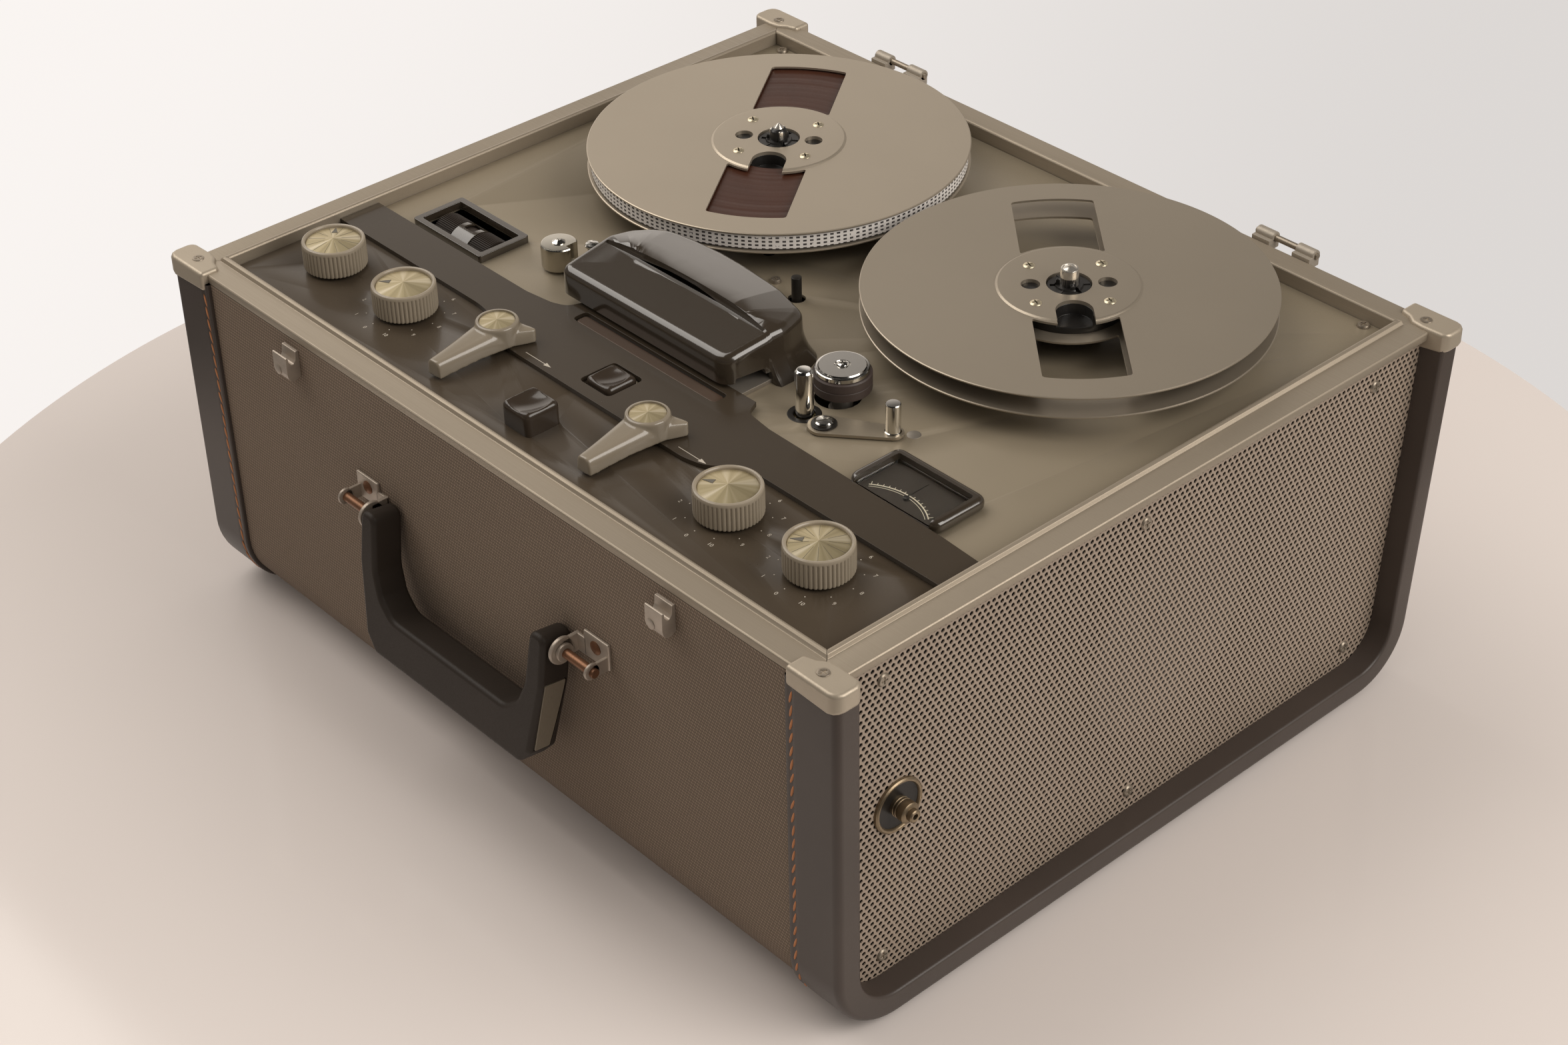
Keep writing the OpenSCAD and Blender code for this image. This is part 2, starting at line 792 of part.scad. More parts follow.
module button_hole(y) {
    translate([button_x, y, 0]) round_box([button_w + 2 * loose, button_w + 2 * loose], 3, tall);
}

module deck_plate() {
    color([0.52, 0.48, 0.40]) difference() {
        box([-deck_half_x, -deck_half_y, deck_low], [deck_half_x, deck_half_y, deck_z]);
        control_holes(5.2);
        for (x = lever_xs) translate([x, lever_y, 0]) cylinder(h = tall, r = 4 + run);
        button_hole(stop_y);
        button_hole(record_y);
        for (x = reel_xs) translate([x, reel_y, 0]) cylinder(h = tall, r = bearing_r + run);
        translate([capstan_x, capstan_y, 0]) cylinder(h = tall, r = capstan_r + 1.8);
        translate([pinch_pos.x, pinch_pos.y - pinch_gap / 2, 0]) cylinder(h = tall, r = 10);
        translate([pinch_pivot.x, pinch_pivot.y, 0]) cylinder(h = tall, r = 3 + run);
        translate([tension_x, tension_y, 0]) cylinder(h = tall, r = 2.5 + run);
        translate([finger_pos.x, finger_pos.y, 0]) cylinder(h = tall, r = 4);
        translate([shift_pivot.x, shift_pivot.y, 0]) cylinder(h = tall, r = 3 + run);
        translate([counter_x, counter_y, 0])
            round_box([counter_w - 4 + 2 * hair, counter_d - 4 + 2 * hair], 1.5, tall);
        translate([meter_x, meter_y, 0]) round_box([meter_w - 8, meter_d - 8], 1.5, tall);
    }
}

// Outline of the raised strip: straight ends and a wide middle under the head cover
module strip_outline(grow = 0) {
    swell_y = strip_fy - strip_swell;
    wide_by = cover_y + 4;
    polygon([[-deck_half_x, strip_fy - grow], [wind_x - 22, strip_fy - grow],
             [wind_x + 4, swell_y - grow + 2], [wind_x + 14, swell_y - grow],
             [play_x + 22, swell_y - grow], [play_x + 32, swell_y - grow + 2],
             [play_x + 42, strip_fy - grow], [deck_half_x, strip_fy - grow],
             [deck_half_x, strip_by + grow], [cover_xr + 56, strip_by + 3 + grow],
             [cover_xr + 32, strip_by + 6.5 + grow], [cover_xr + 18, strip_by + 9 + grow],
             [cover_xr + 14, wide_by], [cover_xl + 13, wide_by], [cover_xl + 10, strip_by + 8],
             [cover_xl + 3, strip_by + 4 + grow], [cover_xl - 12, strip_by + grow],
             [-deck_half_x, strip_by + grow]]);
}

module control_panel() {
    back = strip_fy + 6;
    color([0.25, 0.22, 0.19]) difference() {
        box([-deck_half_x, -deck_half_y, deck_z], [deck_half_x, back, panel_z]);
        control_holes(5.2);
        for (x = lever_xs) translate([x, lever_y, 0]) cylinder(h = tall, r = 4.3);
        button_hole(stop_y);
        button_hole(record_y);
    }
}

module trim_strip() {
    color([0.27, 0.23, 0.20]) difference() {
        union() {
            translate([0, 0, panel_z]) linear_extrude(strip_t) strip_outline();
            translate([0, 0, deck_z]) linear_extrude(panel_t + past) intersection() {
                strip_outline();
                translate([-case_w, strip_fy + 6 + hair]) square([2 * case_w, 200]);
            }
        }
        for (x = lever_xs) translate([x, lever_y, 0]) cylinder(h = tall, r = 4.3);
        button_hole(record_y);
        gate_slot(hair, tall);
    }
}

module gate_slot(gap, h) {
    translate([(cover_xl + cover_xr) / 2 + 13, slot_y, 0])
        round_box([92 + 2 * gap, 7.6 + 2 * gap], 2.5, h);
}

// Bronze shutter that lies in the slot in front of the head cover
module head_gate() {
    color("sienna") translate([0, 0, deck_z]) gate_slot(0, strip_z - deck_z - 1);
}

// Solid body of the head cover, drawn smaller by inset: a low front block, then a dome
// whose walls go down to the deck and flare at the right
module cover_body(inset) {
    r = 3 - inset / 2;
    xl = cover_xl + inset;
    xr = cover_xr - inset;
    fy = cover_y + inset;
    ridge_y = cover_y + ridge_back;
    back_y = cover_y + crest_back + 5 - inset;
    sink = inset > 0 ? past : 0;
    ridge = [[xl + 4, ridge_y, cover_ridge_h], [xr - 3, ridge_y, cover_ridge_h]];
    hull() {
        for (p = [[xl + 4, fy + 4], [xr - 4, fy + 4], [xl + 4, ridge_y], [xr - 3, ridge_y]])
            translate([p.x, p.y, deck_z + cover_foot - sink]) cylinder(h = 6, r = r + 1, $fn = 32);
        cover_tops(concat(ridge, [[xl + 4, fy + 4, cover_front_h], [xr - 4, fy + 4, cover_front_h]]),
            inset, r);
    }
    hull() {
        for (p = [[xl + 4, ridge_y], [xr + 6, ridge_y], [xr + 3, ridge_y + 20 - inset],
                  [xr - 18, back_y - 3], [-14, back_y - 2], [xl + 20, back_y - 9]])
            translate([p.x, p.y, deck_z + hair - sink]) cylinder(h = 3, r = r + 1, $fn = 32);
        cover_tops(concat(ridge, [[xl + 18, back_y - 12, cover_crest_h - 1],
            [xl + 28, back_y - 8, cover_crest_h], [-18, back_y - 5, cover_crest_h],
            [xr - 30, back_y - 5, cover_crest_h], [xr - 16, back_y - 5, cover_crest_h - 1.5],
            [xr - 8, back_y - 8, cover_ridge_h]]), inset, r);
    }
}

module cover_tops(places, inset, r) {
    for (p = places) translate([p.x, p.y, deck_z + p.z - inset - r]) sphere(r, $fn = 32);
}

module head_cover() {
    color([0.30, 0.26, 0.23]) difference() {
        cover_body(0);
        cover_body(cover_t);
        box([cover_xl - past, cover_y + 4, deck_z],
            [cover_xr + 2, cover_y + ridge_back - 1.5, deck_z + tape_way]);
    }
}

module head_plate() {
    color("silver") box([cover_xl + 14, cover_y + 4 + loose, deck_z],
        [cover_xr + 3, cover_y + 32, deck_z + head_plate_t]);
}

// Erase, record and play heads
module tape_heads() {
    color("gainsboro") for (x = [-44, -16, 12])
        translate([x, cover_y + 22, deck_z + head_plate_t]) difference() {
            cylinder(h = 11, r = 7);
            translate([-10, -past * 12, -past]) cube([20, 8, 14]);
        }
}

// Left guide drum with its flat side, and the screw post beside it
module tape_guides() {
    color("silver") {
        translate([guide_pos.x, guide_pos.y, deck_z]) difference() {
            union() {
                cylinder(h = 1.5, r = 4);
                translate([0, 0, 1.5]) cylinder(h = post_h - 3, r = guide_r);
                translate([0, 0, post_h - 1.5]) cylinder(h = 1.2, r = 2.6);
            }
            translate([guide_r * 0.62, 0, 3.5]) cube([guide_r, guide_r, post_h]);
        }
        translate([guide_screw.x, guide_screw.y, deck_z]) union() {
            cylinder(h = post_h - 2, r = 2.2);
            translate([0, 0, post_h - 2]) cylinder(h = 1.6, r = 3.2);
        }
    }
}

// Arm under the deck with the pinch roller's post
module pinch_arm() {
    color("gray") union() {
        translate([0, 0, arm_z]) link(pinch_pos, pinch_pivot, 6, 7, arm_t, 0.7);
        translate([pinch_pos.x, pinch_pos.y, arm_z]) cylinder(h = deck_z + 3 - arm_z, r = 4.5);
        translate([pinch_pos.x, pinch_pos.y, arm_z]) cylinder(h = deck_z + 11 - arm_z, r = shaft_r);
        translate([pinch_pivot.x, pinch_pivot.y, arm_z]) cylinder(h = deck_z - arm_z, r = 3);
    }
}

module pinch_roller() {
    color([0.15, 0.12, 0.11]) translate([pinch_pos.x, pinch_pos.y, deck_z + 3.3]) difference() {
        cylinder(h = 8.5, r = pinch_r);
        translate([0, 0, -past]) cylinder(h = 20, r = shaft_r + run);
    }
}

module pinch_disc() {
    color("silver") translate([pinch_pos.x, pinch_pos.y, deck_z + 11.8]) union() {
        cylinder(h = 2, r = pinch_r - 1.8);
        translate([0, 0, 2]) cylinder(h = 0.8, r1 = pinch_r - 1.8, r2 = pinch_r - 2.6);
        translate([0, 0, 2.8]) cylinder(h = 0.9, r = 2.4);
    }
}

module tension_arm() {
    a = [tension_x, tension_y];
    b = a + tension_len * [cos(tension_angle), sin(tension_angle)];
    z = deck_z + loose;
    color("silver") union() {
        translate([0, 0, z]) link(a, b, 7, 4.6, 1.4);
        translate([a.x, a.y, z + 1.4]) cylinder(h = 1.4, r = 4.6);
        translate([b.x, b.y, z]) cylinder(h = post_h + 1.4, r = 3.2);
        translate([a.x, a.y, deck_low - 5]) cylinder(h = deck_t + 6 + loose, r = 2.5);
        translate([a.x, a.y, deck_low - 5]) cylinder(h = 4.6, r = 4);
    }
}

// Linkage arm under the deck whose black finger stands up behind the head cover
module shift_arm() {
    color([0.12, 0.11, 0.11]) union() {
        translate([0, 0, arm_z]) link(finger_pos, shift_pivot, 5, 7, arm_t, 0.7);
        translate([finger_pos.x, finger_pos.y, arm_z]) cylinder(h = deck_z + 10.8 - arm_z, r = 2.3);
        translate([shift_pivot.x, shift_pivot.y, arm_z]) cylinder(h = deck_z - arm_z, r = 3);
    }
}

// Frame and well of the counter window, with the curved mask between the wheels
module window_bezel() {
    sleeve = [counter_w - 4, counter_d - 4];
    inner = sleeve - [2 * counter_wall, 2 * counter_wall] * 0.75;
    low = deck_z - counter_deep;
    color([0.20, 0.18, 0.16]) translate([counter_x, counter_y, 0]) union() {
        difference() {
            union() {
                translate([0, 0, deck_z]) round_box([counter_w, counter_d], 1.5, strip_z - deck_z);
                translate([0, 0, low]) round_box(sleeve, 1.5, counter_deep + past);
            }
            translate([0, 0, low + 1.5]) round_box(inner, 1, 100);
            translate([-counter_w, 0, counter_axis_z]) rotate([0, 90, 0])
                cylinder(h = 2 * counter_w, r = 2 + run);
        }
        intersection() {
            translate([-5.5, 0, counter_axis_z]) rotate([0, 90, 0]) difference() {
                cylinder(h = 11, r = counter_r);
                translate([0, 0, -past]) cylinder(h = 11 + 2 * past, r = counter_r - 1.2);
            }
            translate([-10, -20, low + 1.5 - 0.2]) cube([20, 40, 60]);
        }
        translate([-5.5, -inner.y / 2 - 0.2, counter_axis_z - 1])
            cube([11, inner.y / 2 - counter_r + 0.8, 2]);
        translate([-5.5, counter_r - 0.6, counter_axis_z - 1])
            cube([11, inner.y / 2 - counter_r + 0.8, 2]);
    }
}

// Two knurled wheels on one shaft
module counter_wheels() {
    ribs = 32;
    color([0.17, 0.15, 0.14]) translate([counter_x, counter_y, counter_axis_z])
        rotate([0, 90, 0]) difference() {
            union() {
                translate([0, 0, -counter_w / 2 + 2.6]) cylinder(h = counter_w - 5.2, r = 2);
                for (from = [-counter_w / 2 + 6.5, 6.5])
                    translate([0, 0, from]) cylinder(h = counter_w / 2 - 13, r = counter_r);
            }
            for (i = [0:ribs - 1]) rotate(i * 360 / ribs)
                translate([counter_r + 0.25, 0, -counter_w]) cylinder(h = 2 * counter_w, r = 0.6, $fn = 16);
        }
}

module meter_bezel() {
    color([0.24, 0.21, 0.18]) translate([meter_x, meter_y, deck_z]) difference() {
        round_box([meter_w, meter_d], 2.5, meter_h);
        translate([0, 0, -past]) round_box([meter_w - 9, meter_d - 9], 1.5, meter_h + 2 * past);
        translate([0, 0, meter_h - 1.8]) round_box([meter_w - 6, meter_d - 6], 1.5, meter_h);
    }
}

module meter_glass() {
    color([0.9, 0.9, 0.85, 0.4]) translate([meter_x, meter_y, deck_z + meter_h - 1.8])
        round_box([meter_w - 6 - 2 * hair, meter_d - 6 - 2 * hair], 1.5, 1.2);
}

// Meter can that hangs through the deck, its dial just below the glass
module meter_movement() {
    can = [meter_w - 9 - 2 * hair, meter_d - 9 - 2 * hair];
    color("dimgray") translate([meter_x, meter_y, 0]) difference() {
        translate([0, 0, deck_z - 26]) round_box(can, 1.5, 28);
        translate([0, -can.y / 2 + 4, deck_z - 6]) cylinder(h = 20, r = 1 + run);
    }
}

module meter_needle() {
    can_y = meter_d - 9 - 2 * hair;
    color("black") translate([meter_x, meter_y - can_y / 2 + 4, 0]) union() {
        translate([0, 0, deck_z - 5]) cylinder(h = 7.8, r = 1);
        translate([0, 0, deck_z + 2.2]) cylinder(h = 0.6, r = 2.2);
        translate([-0.35, 0, deck_z + 2.2]) cube([0.7, can_y - 7, 0.5]);
    }
}

// Spindle with its turntable, bearing shaft and drive wheel in one turned piece
module reel_table(x) {
    wheel_z = drive_z;
    color("dimgray") translate([x, reel_y, 0]) union() {
        translate([0, 0, wheel_z]) cylinder(h = 8, r = wheel_r);
        translate([0, 0, wheel_z]) cylinder(h = reel_low - table_t - wheel_z, r = bearing_r);
        translate([0, 0, deck_low - 4]) cylinder(h = 3.6, r = 11);
        translate([0, 0, deck_z + loose]) cylinder(h = reel_lift - table_t - loose, r = 14);
        translate([0, 0, reel_low - table_t]) cylinder(h = table_t, r = table_r);
        translate([0, 0, reel_low]) cylinder(h = reel_w + 4.5, r = spindle_r);
        translate([0, 0, reel_top + 4.5]) cylinder(h = 1.5, r1 = spindle_r, r2 = spindle_r - 1.5);
        for (turn = [90, 210, 330]) rotate(turn)
            translate([spindle_r - 1, -1, reel_low]) cube([2.6, 2, reel_w + 2]);
    }
}

// Round hole with three keyways, for the spindle
module spindle_hole() {
    translate([0, 0, -tall]) cylinder(h = 2 * tall, r = spindle_r + run);
    for (turn = [90, 210, 330]) rotate(turn)
        translate([spindle_r - 1, -1.2, -tall]) cube([3, 2.4, 2 * tall]);
}

// One window of a reel flange: straight sides, and arcs at the inner and outer ends
module flange_window() {
    intersection() {
        difference() {
            circle(window_out);
            circle(window_in);
        }
        translate([0, -window_half]) square([window_out, 2 * window_half]);
    }
}

// Bore, two round holes and the threading notch in the middle of the upper flange
module flange_middle() {
    circle(hub_bore);
    for (side = [-1, 1]) translate([0, side * 16.4]) circle(4.1);
    translate([-22, 0]) circle(7.9);
    translate([-window_in - 2, -4.5]) square([9, 9]);
}

// Both flanges in one piece list, with the raised plate on the upper one
module reel_flanges(x, turn) {
    color([0.72, 0.69, 0.62]) translate([x, reel_y, 0]) rotate(turn) {
        translate([0, 0, reel_low]) linear_extrude(flange_t) difference() {
            circle(reel_d / 2);
            for (side = [0, 180]) rotate(side) flange_window();
            circle(hub_bore);
        }
        difference() {
            union() {
                translate([0, 0, reel_top - flange_t]) cylinder(h = flange_t, r = reel_d / 2);
                translate([0, 0, reel_top]) cylinder(h = plate_t, r = plate_r);
            }
            translate([0, 0, reel_low]) linear_extrude(2 * reel_w) {
                for (side = [0, 180]) rotate(side) flange_window();
                flange_middle();
            }
        }
        for (a = [45:90:315]) rotate(a) translate([22, 0, reel_top + plate_t]) screw_head(3, 0.7);
    }
}

module reel_hub(x) {
    color([0.16, 0.15, 0.14]) translate([x, reel_y, reel_low + flange_t]) difference() {
        cylinder(h = reel_w - 2 * flange_t, r = hub_r);
        spindle_hole();
        rotate(x < reel_mid ? supply_turn : takeup_turn) translate([-22, 0, 3]) cylinder(h = reel_w, r = 7.9);
    }
}

// Wound tape, with the pale leader as one open turn of a spiral round it
module tape_pack() {
    z = reel_low + reel_w / 2 - tape_w / 2;
    leader_t = 0.35;
    climb = 0.9;
    steps = 72;
    sweep = 400;
    function edge(r, i) = (r + climb * i / steps) * [cos(sweep * i / steps), sin(sweep * i / steps)];
    echo(least_gap_of_leader = climb * 360 / sweep - leader_t);
    translate([supply_x, reel_y, z]) {
        color("saddlebrown") linear_extrude(tape_w) difference() {
            circle(pack_r);
            circle(hub_r + hair);
        }
        color("white") linear_extrude(tape_w) polygon([
            for (i = [0:steps]) edge(pack_r + hair + leader_t, i),
            for (i = [steps:-1:0]) edge(pack_r + hair, i)]);
    }
}

// Potentiometers and the selector switch under the panel, one behind each knob
module control_pots() {
    color("silver") for (x = control_xs) translate([x, knob_y, 0]) difference() {
        union() {
            translate([0, 0, deck_low - 15]) cylinder(h = 15, r = 11);
            translate([0, 0, deck_low - past]) cylinder(h = panel_z + 0.6 - deck_low + past, r = 5);
        }
        translate([0, 0, deck_low - 12]) cylinder(h = 100, r = shaft_r + run);
    }
}

// Fluted knob with its shaft, a raised edge and a spun conical disc in its top
module knob(x) {
    base = panel_z + 1;
    top = base + knob_h;
    disc_r = knob_d / 2 - 2;
    translate([x, knob_y, 0]) {
        color([0.48, 0.43, 0.37]) union() {
            difference() {
                translate([0, 0, base]) cylinder(h = knob_h, r = knob_d / 2);
                translate([0, 0, top - 1.6]) cylinder(h = 2, r = disc_r + hair);
                for (i = [0:knob_flutes - 1]) rotate(i * 360 / knob_flutes)
                    translate([knob_d / 2 + 0.35, 0, base - past])
                        cylinder(h = knob_h, r = 0.85, $fn = 16);
            }
            translate([0, 0, deck_low - 11]) cylinder(h = base - deck_low + 12, r = shaft_r);
        }
        color("khaki") translate([0, 0, top - 1.6]) cylinder(h = 1.4, r1 = disc_r, r2 = 1);
    }
}

// Lever with a round hub, a tapering arm to the front, a short fin to the back and a shaft
module lever(x) {
    z = strip_z + loose;
    tip = lever_len * [cos(-86), sin(-86)];
    fin = 17 * [cos(42), sin(42)];
    translate([x, lever_y, 0]) {
        color([0.50, 0.45, 0.39]) difference() {
            union() {
                translate([0, 0, z]) cylinder(h = lever_h, r1 = lever_r, r2 = lever_r - 1.2);
                hull() {
                    translate([0, 0, z + 1]) cylinder(h = lever_h - 1.5, r = lever_r - 2, $fn = 32);
                    translate([tip.x / 2, tip.y / 2, z]) cylinder(h = lever_h * 0.7, r = 5, $fn = 32);
                }
                hull() {
                    translate([tip.x / 2, tip.y / 2, z]) cylinder(h = lever_h * 0.7, r = 5, $fn = 32);
                    translate([tip.x, tip.y, z - 1]) cylinder(h = lever_h * 0.48, r = 3, $fn = 32);
                }
                hull() {
                    translate([0, 0, z]) cylinder(h = lever_h * 0.7, r = lever_r - 2, $fn = 32);
                    translate([fin.x, fin.y, z]) cylinder(h = 3, r = 0.8, $fn = 32);
                }
                translate([0, 0, deck_low - 12]) cylinder(h = z - deck_low + 13, r = 4);
                translate([0, 0, deck_low - 12]) cylinder(h = 3, r = 13);
            }
            translate([0, 0, z + lever_h - 1.5]) cylinder(h = 3, r = lever_r - 2.5 + hair);
        }
        color("khaki") translate([0, 0, z + lever_h - 1.5])
            cylinder(h = 1.4, r1 = lever_r - 2.5, r2 = 1);
    }
}

// Button with a dished top, a stem and a stop plate under the deck
module push_button(y, top) {
    difference() {
        union() {
            translate([button_x, y, deck_low - 6])
                round_box([button_w, button_w], 3 - loose, top - deck_low + 6);
            translate([button_x, y, deck_low - 6])
                round_box([button_w + 6, button_w + 6], 3, 5.6);
        }
        translate([button_x, y, top + 26.8]) sphere(28);
    }
}

module stop_button() {
    color([0.18, 0.16, 0.14]) push_button(stop_y, panel_z + stop_h);
}

module record_button() {
    color([0.18, 0.16, 0.14]) push_button(record_y, strip_z + 1.2);
}

case_shell();
case_cloth();
leather_bindings();
end_boards();
side_grilles();
rubber_feet();
rim_bars();
corner_caps();
case_screws();
lid_hinges();
latch_catches();
handle_brackets();
handle_grip();
handle_inlays();
side_sockets();
speakers();
amplifier_chassis();
amplifier_valves();
transformer();
motor();
motor_pulley();
drive_belt();
flywheel();
capstan();
capstan_bearing();
deck_plate();
control_panel();
trim_strip();
head_cover();
head_plate();
tape_heads();
head_gate();
tape_guides();
pinch_arm();
pinch_roller();
pinch_disc();
tension_arm();
shift_arm();
window_bezel();
counter_wheels();
meter_bezel();
meter_movement();
meter_needle();
meter_glass();
reel_table(supply_x);  // supply_table
reel_table(takeup_x);  // takeup_table
reel_flanges(supply_x, supply_turn);  // supply_reel
reel_flanges(takeup_x, takeup_turn);  // takeup_reel
reel_hub(supply_x);  // supply_hub
reel_hub(takeup_x);  // takeup_hub
tape_pack();
control_pots();
knob(selector_x);  // selector_knob
knob(volume_x);  // volume_knob
knob(radio_x);  // radio_knob
knob(microphone_x);  // microphone_knob
lever(wind_x);  // fast_wind_lever
lever(play_x);  // play_lever
stop_button();
record_button();
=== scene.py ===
"""Portable reel-to-reel tape recorder, lid off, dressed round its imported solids."""
import math
import random

import bpy
from bpy.props import FloatProperty, FloatVectorProperty, IntProperty, PointerProperty
from mathutils import Matrix, Vector


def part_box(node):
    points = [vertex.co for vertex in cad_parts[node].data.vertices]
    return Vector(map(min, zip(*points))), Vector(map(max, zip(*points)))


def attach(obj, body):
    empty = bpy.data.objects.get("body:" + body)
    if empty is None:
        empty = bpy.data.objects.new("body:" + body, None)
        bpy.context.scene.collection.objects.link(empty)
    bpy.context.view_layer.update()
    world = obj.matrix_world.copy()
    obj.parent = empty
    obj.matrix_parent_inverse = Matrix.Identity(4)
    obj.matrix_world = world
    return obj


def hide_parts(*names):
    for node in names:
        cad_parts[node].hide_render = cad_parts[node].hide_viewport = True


bl_info = {
    "name": "Reel-to-Reel Tape Recorder",
    "version": (1, 0, 0),
    "blender": (4, 5, 0),
    "location": "View3D > Sidebar > Recorder",
    "description": "Models the case, deck, reels and controls of a portable tape recorder",
    "category": "Object",
}

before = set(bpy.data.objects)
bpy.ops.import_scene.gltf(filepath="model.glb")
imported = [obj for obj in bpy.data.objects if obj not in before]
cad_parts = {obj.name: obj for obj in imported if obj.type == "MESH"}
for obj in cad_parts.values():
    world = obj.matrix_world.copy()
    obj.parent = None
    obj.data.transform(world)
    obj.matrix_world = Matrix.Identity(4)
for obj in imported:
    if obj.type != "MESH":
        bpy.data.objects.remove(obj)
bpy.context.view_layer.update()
MM = 0.001

# Levels and places that the solids give, in metres
RIM_LOW, RIM_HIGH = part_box("rim_bars")
RIM_TOP = RIM_HIGH.z - 2 * MM
DECK_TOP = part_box("deck_plate")[1].z
PANEL_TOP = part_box("control_panel")[1].z
STRIP_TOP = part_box("trim_strip")[1].z
FRONT_Y = RIM_LOW.y


def middle(node):
    low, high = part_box(node)
    return (low + high) / 2


# Modelling helpers


def choose(obj):
    """Leaves only obj selected and active, in object mode."""
    if bpy.context.object and bpy.context.object.mode != "OBJECT":
        bpy.ops.object.mode_set(mode="OBJECT")
    bpy.ops.object.select_all(action="DESELECT")
    obj.select_set(True)
    bpy.context.view_layer.objects.active = obj


def rename(name):
    obj = bpy.context.object
    obj.name = name
    obj.data.name = name
    return obj


def settle(obj):
    """Puts the object's place into its mesh."""
    choose(obj)
    bpy.ops.object.transform_apply(location=True, rotation=True, scale=True)


def modify(obj, kind, **settings):
    """Adds a modifier with these settings and applies it."""
    choose(obj)
    mod = obj.modifiers.new(kind.title(), kind)
    for key, value in settings.items():
        setattr(mod, key, value)
    bpy.ops.object.modifier_apply(modifier=mod.name)


def bevel(obj, width, segments=2, angle=None):
    """Rounds the edges that are sharper than angle in degrees, or than Blender's own limit."""
    limit = {"angle_limit": math.radians(angle)} if angle else {}
    modify(obj, "BEVEL", width=width, segments=segments, limit_method="ANGLE", **limit)


def box(name, low, high, soft=0.0, segments=2):
    """A cuboid with its edges rounded by soft."""
    low, high = Vector(low), Vector(high)
    bpy.ops.mesh.primitive_cube_add(size=1, location=(low + high) / 2)
    obj = rename(name)
    obj.scale = high - low
    settle(obj)
    if soft:
        bevel(obj, soft, segments)
    return obj


def rod(name, place, radius, height, sides=48, axis="Z", soft=0.0):
    """A round bar that starts at place and runs along axis."""
    turn = {"Z": (0, 0, 0), "X": (0, math.pi / 2, 0)}[axis]
    bpy.ops.mesh.primitive_cylinder_add(vertices=sides, radius=radius, depth=height,
                                        location=(0, 0, height / 2))
    obj = rename(name)
    settle(obj)
    if soft:
        bevel(obj, soft)
    obj.rotation_euler = turn
    obj.location = place
    settle(obj)
    return obj


def draw_outline(points, closed=True):
    """In a new object, draws the points one by one as by hand; leaves edit mode on."""
    bpy.ops.mesh.primitive_plane_add(size=0.001, location=(0, 0, 0))
    bpy.ops.object.mode_set(mode="EDIT")
    bpy.ops.mesh.select_all(action="SELECT")
    bpy.ops.mesh.merge(type="CENTER")
    bpy.ops.transform.translate(value=points[0])
    for a, b in zip(points, points[1:]):
        bpy.ops.mesh.extrude_region_move(TRANSFORM_OT_translate={"value": Vector(b) - Vector(a)})
    if closed:
        bpy.ops.mesh.select_all(action="SELECT")
        bpy.ops.mesh.edge_face_add()


def close_up(obj, merge=1e-6):
    """Merges doubles and turns every face outwards."""
    choose(obj)
    bpy.ops.object.mode_set(mode="EDIT")
    bpy.ops.mesh.select_all(action="SELECT")
    bpy.ops.mesh.remove_doubles(threshold=merge)
    bpy.ops.mesh.normals_make_consistent(inside=False)
    bpy.ops.object.mode_set(mode="OBJECT")


def turned(name, profile, place=(0, 0, 0), steps=64):
    """A lathe piece: profile is (radius, height) pairs, the first and last on the axis or closed."""
    draw_outline([(r, 0, h) for r, h in profile], closed=False)
    bpy.ops.mesh.select_all(action="SELECT")
    bpy.ops.mesh.spin(steps=steps, angle=2 * math.pi, center=(0, 0, 0), axis=(0, 0, 1))
    bpy.ops.object.mode_set(mode="OBJECT")
    obj = rename(name)
    close_up(obj)
    obj.location = place
    settle(obj)
    return obj


def raised(name, points, height):
    """A flat outline drawn through points and carried straight up by height."""
    draw_outline(points)
    bpy.ops.mesh.extrude_region_move(TRANSFORM_OT_translate={"value": (0, 0, height)})
    bpy.ops.object.mode_set(mode="OBJECT")
    obj = rename(name)
    close_up(obj)
    return obj


def slab(name, points, low, high):
    """An outline in X and Y, from height low to high."""
    return raised(name, [(x, y, low) for x, y in points], high - low)


def from_faces(name, verts, faces):
    """A piece from its vertices and faces."""
    mesh = bpy.data.meshes.new(name)
    mesh.from_pydata(verts, [], faces)
    mesh.update()
    obj = bpy.data.objects.new(name, mesh)
    bpy.context.scene.collection.objects.link(obj)
    choose(obj)
    return obj


def cap_ends(obj):
    """Fills the open ends of a tube."""
    choose(obj)
    bpy.ops.object.mode_set(mode="EDIT")
    bpy.ops.mesh.select_all(action="SELECT")
    bpy.ops.mesh.select_non_manifold()
    bpy.ops.mesh.edge_face_add()
    bpy.ops.object.mode_set(mode="OBJECT")
    close_up(obj)


def smooth(obj, angle=35):
    choose(obj)
    bpy.ops.object.shade_smooth_by_angle(angle=math.radians(angle))


def join(objs, name):
    choose(objs[0])
    for o in objs[1:]:
        o.select_set(True)
    bpy.ops.object.join()
    return rename(name)


def fit(obj, body, material, nodes=(), angle=35):
    """Finishes a new piece: smooth, painted, riding its body, and standing for its nodes."""
    smooth(obj, angle)
    modify(obj, "WEIGHTED_NORMAL", keep_sharp=True)
    obj.data.materials.clear()
    obj.data.materials.append(material)
    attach(obj, body)
    if nodes:
        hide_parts(*nodes)


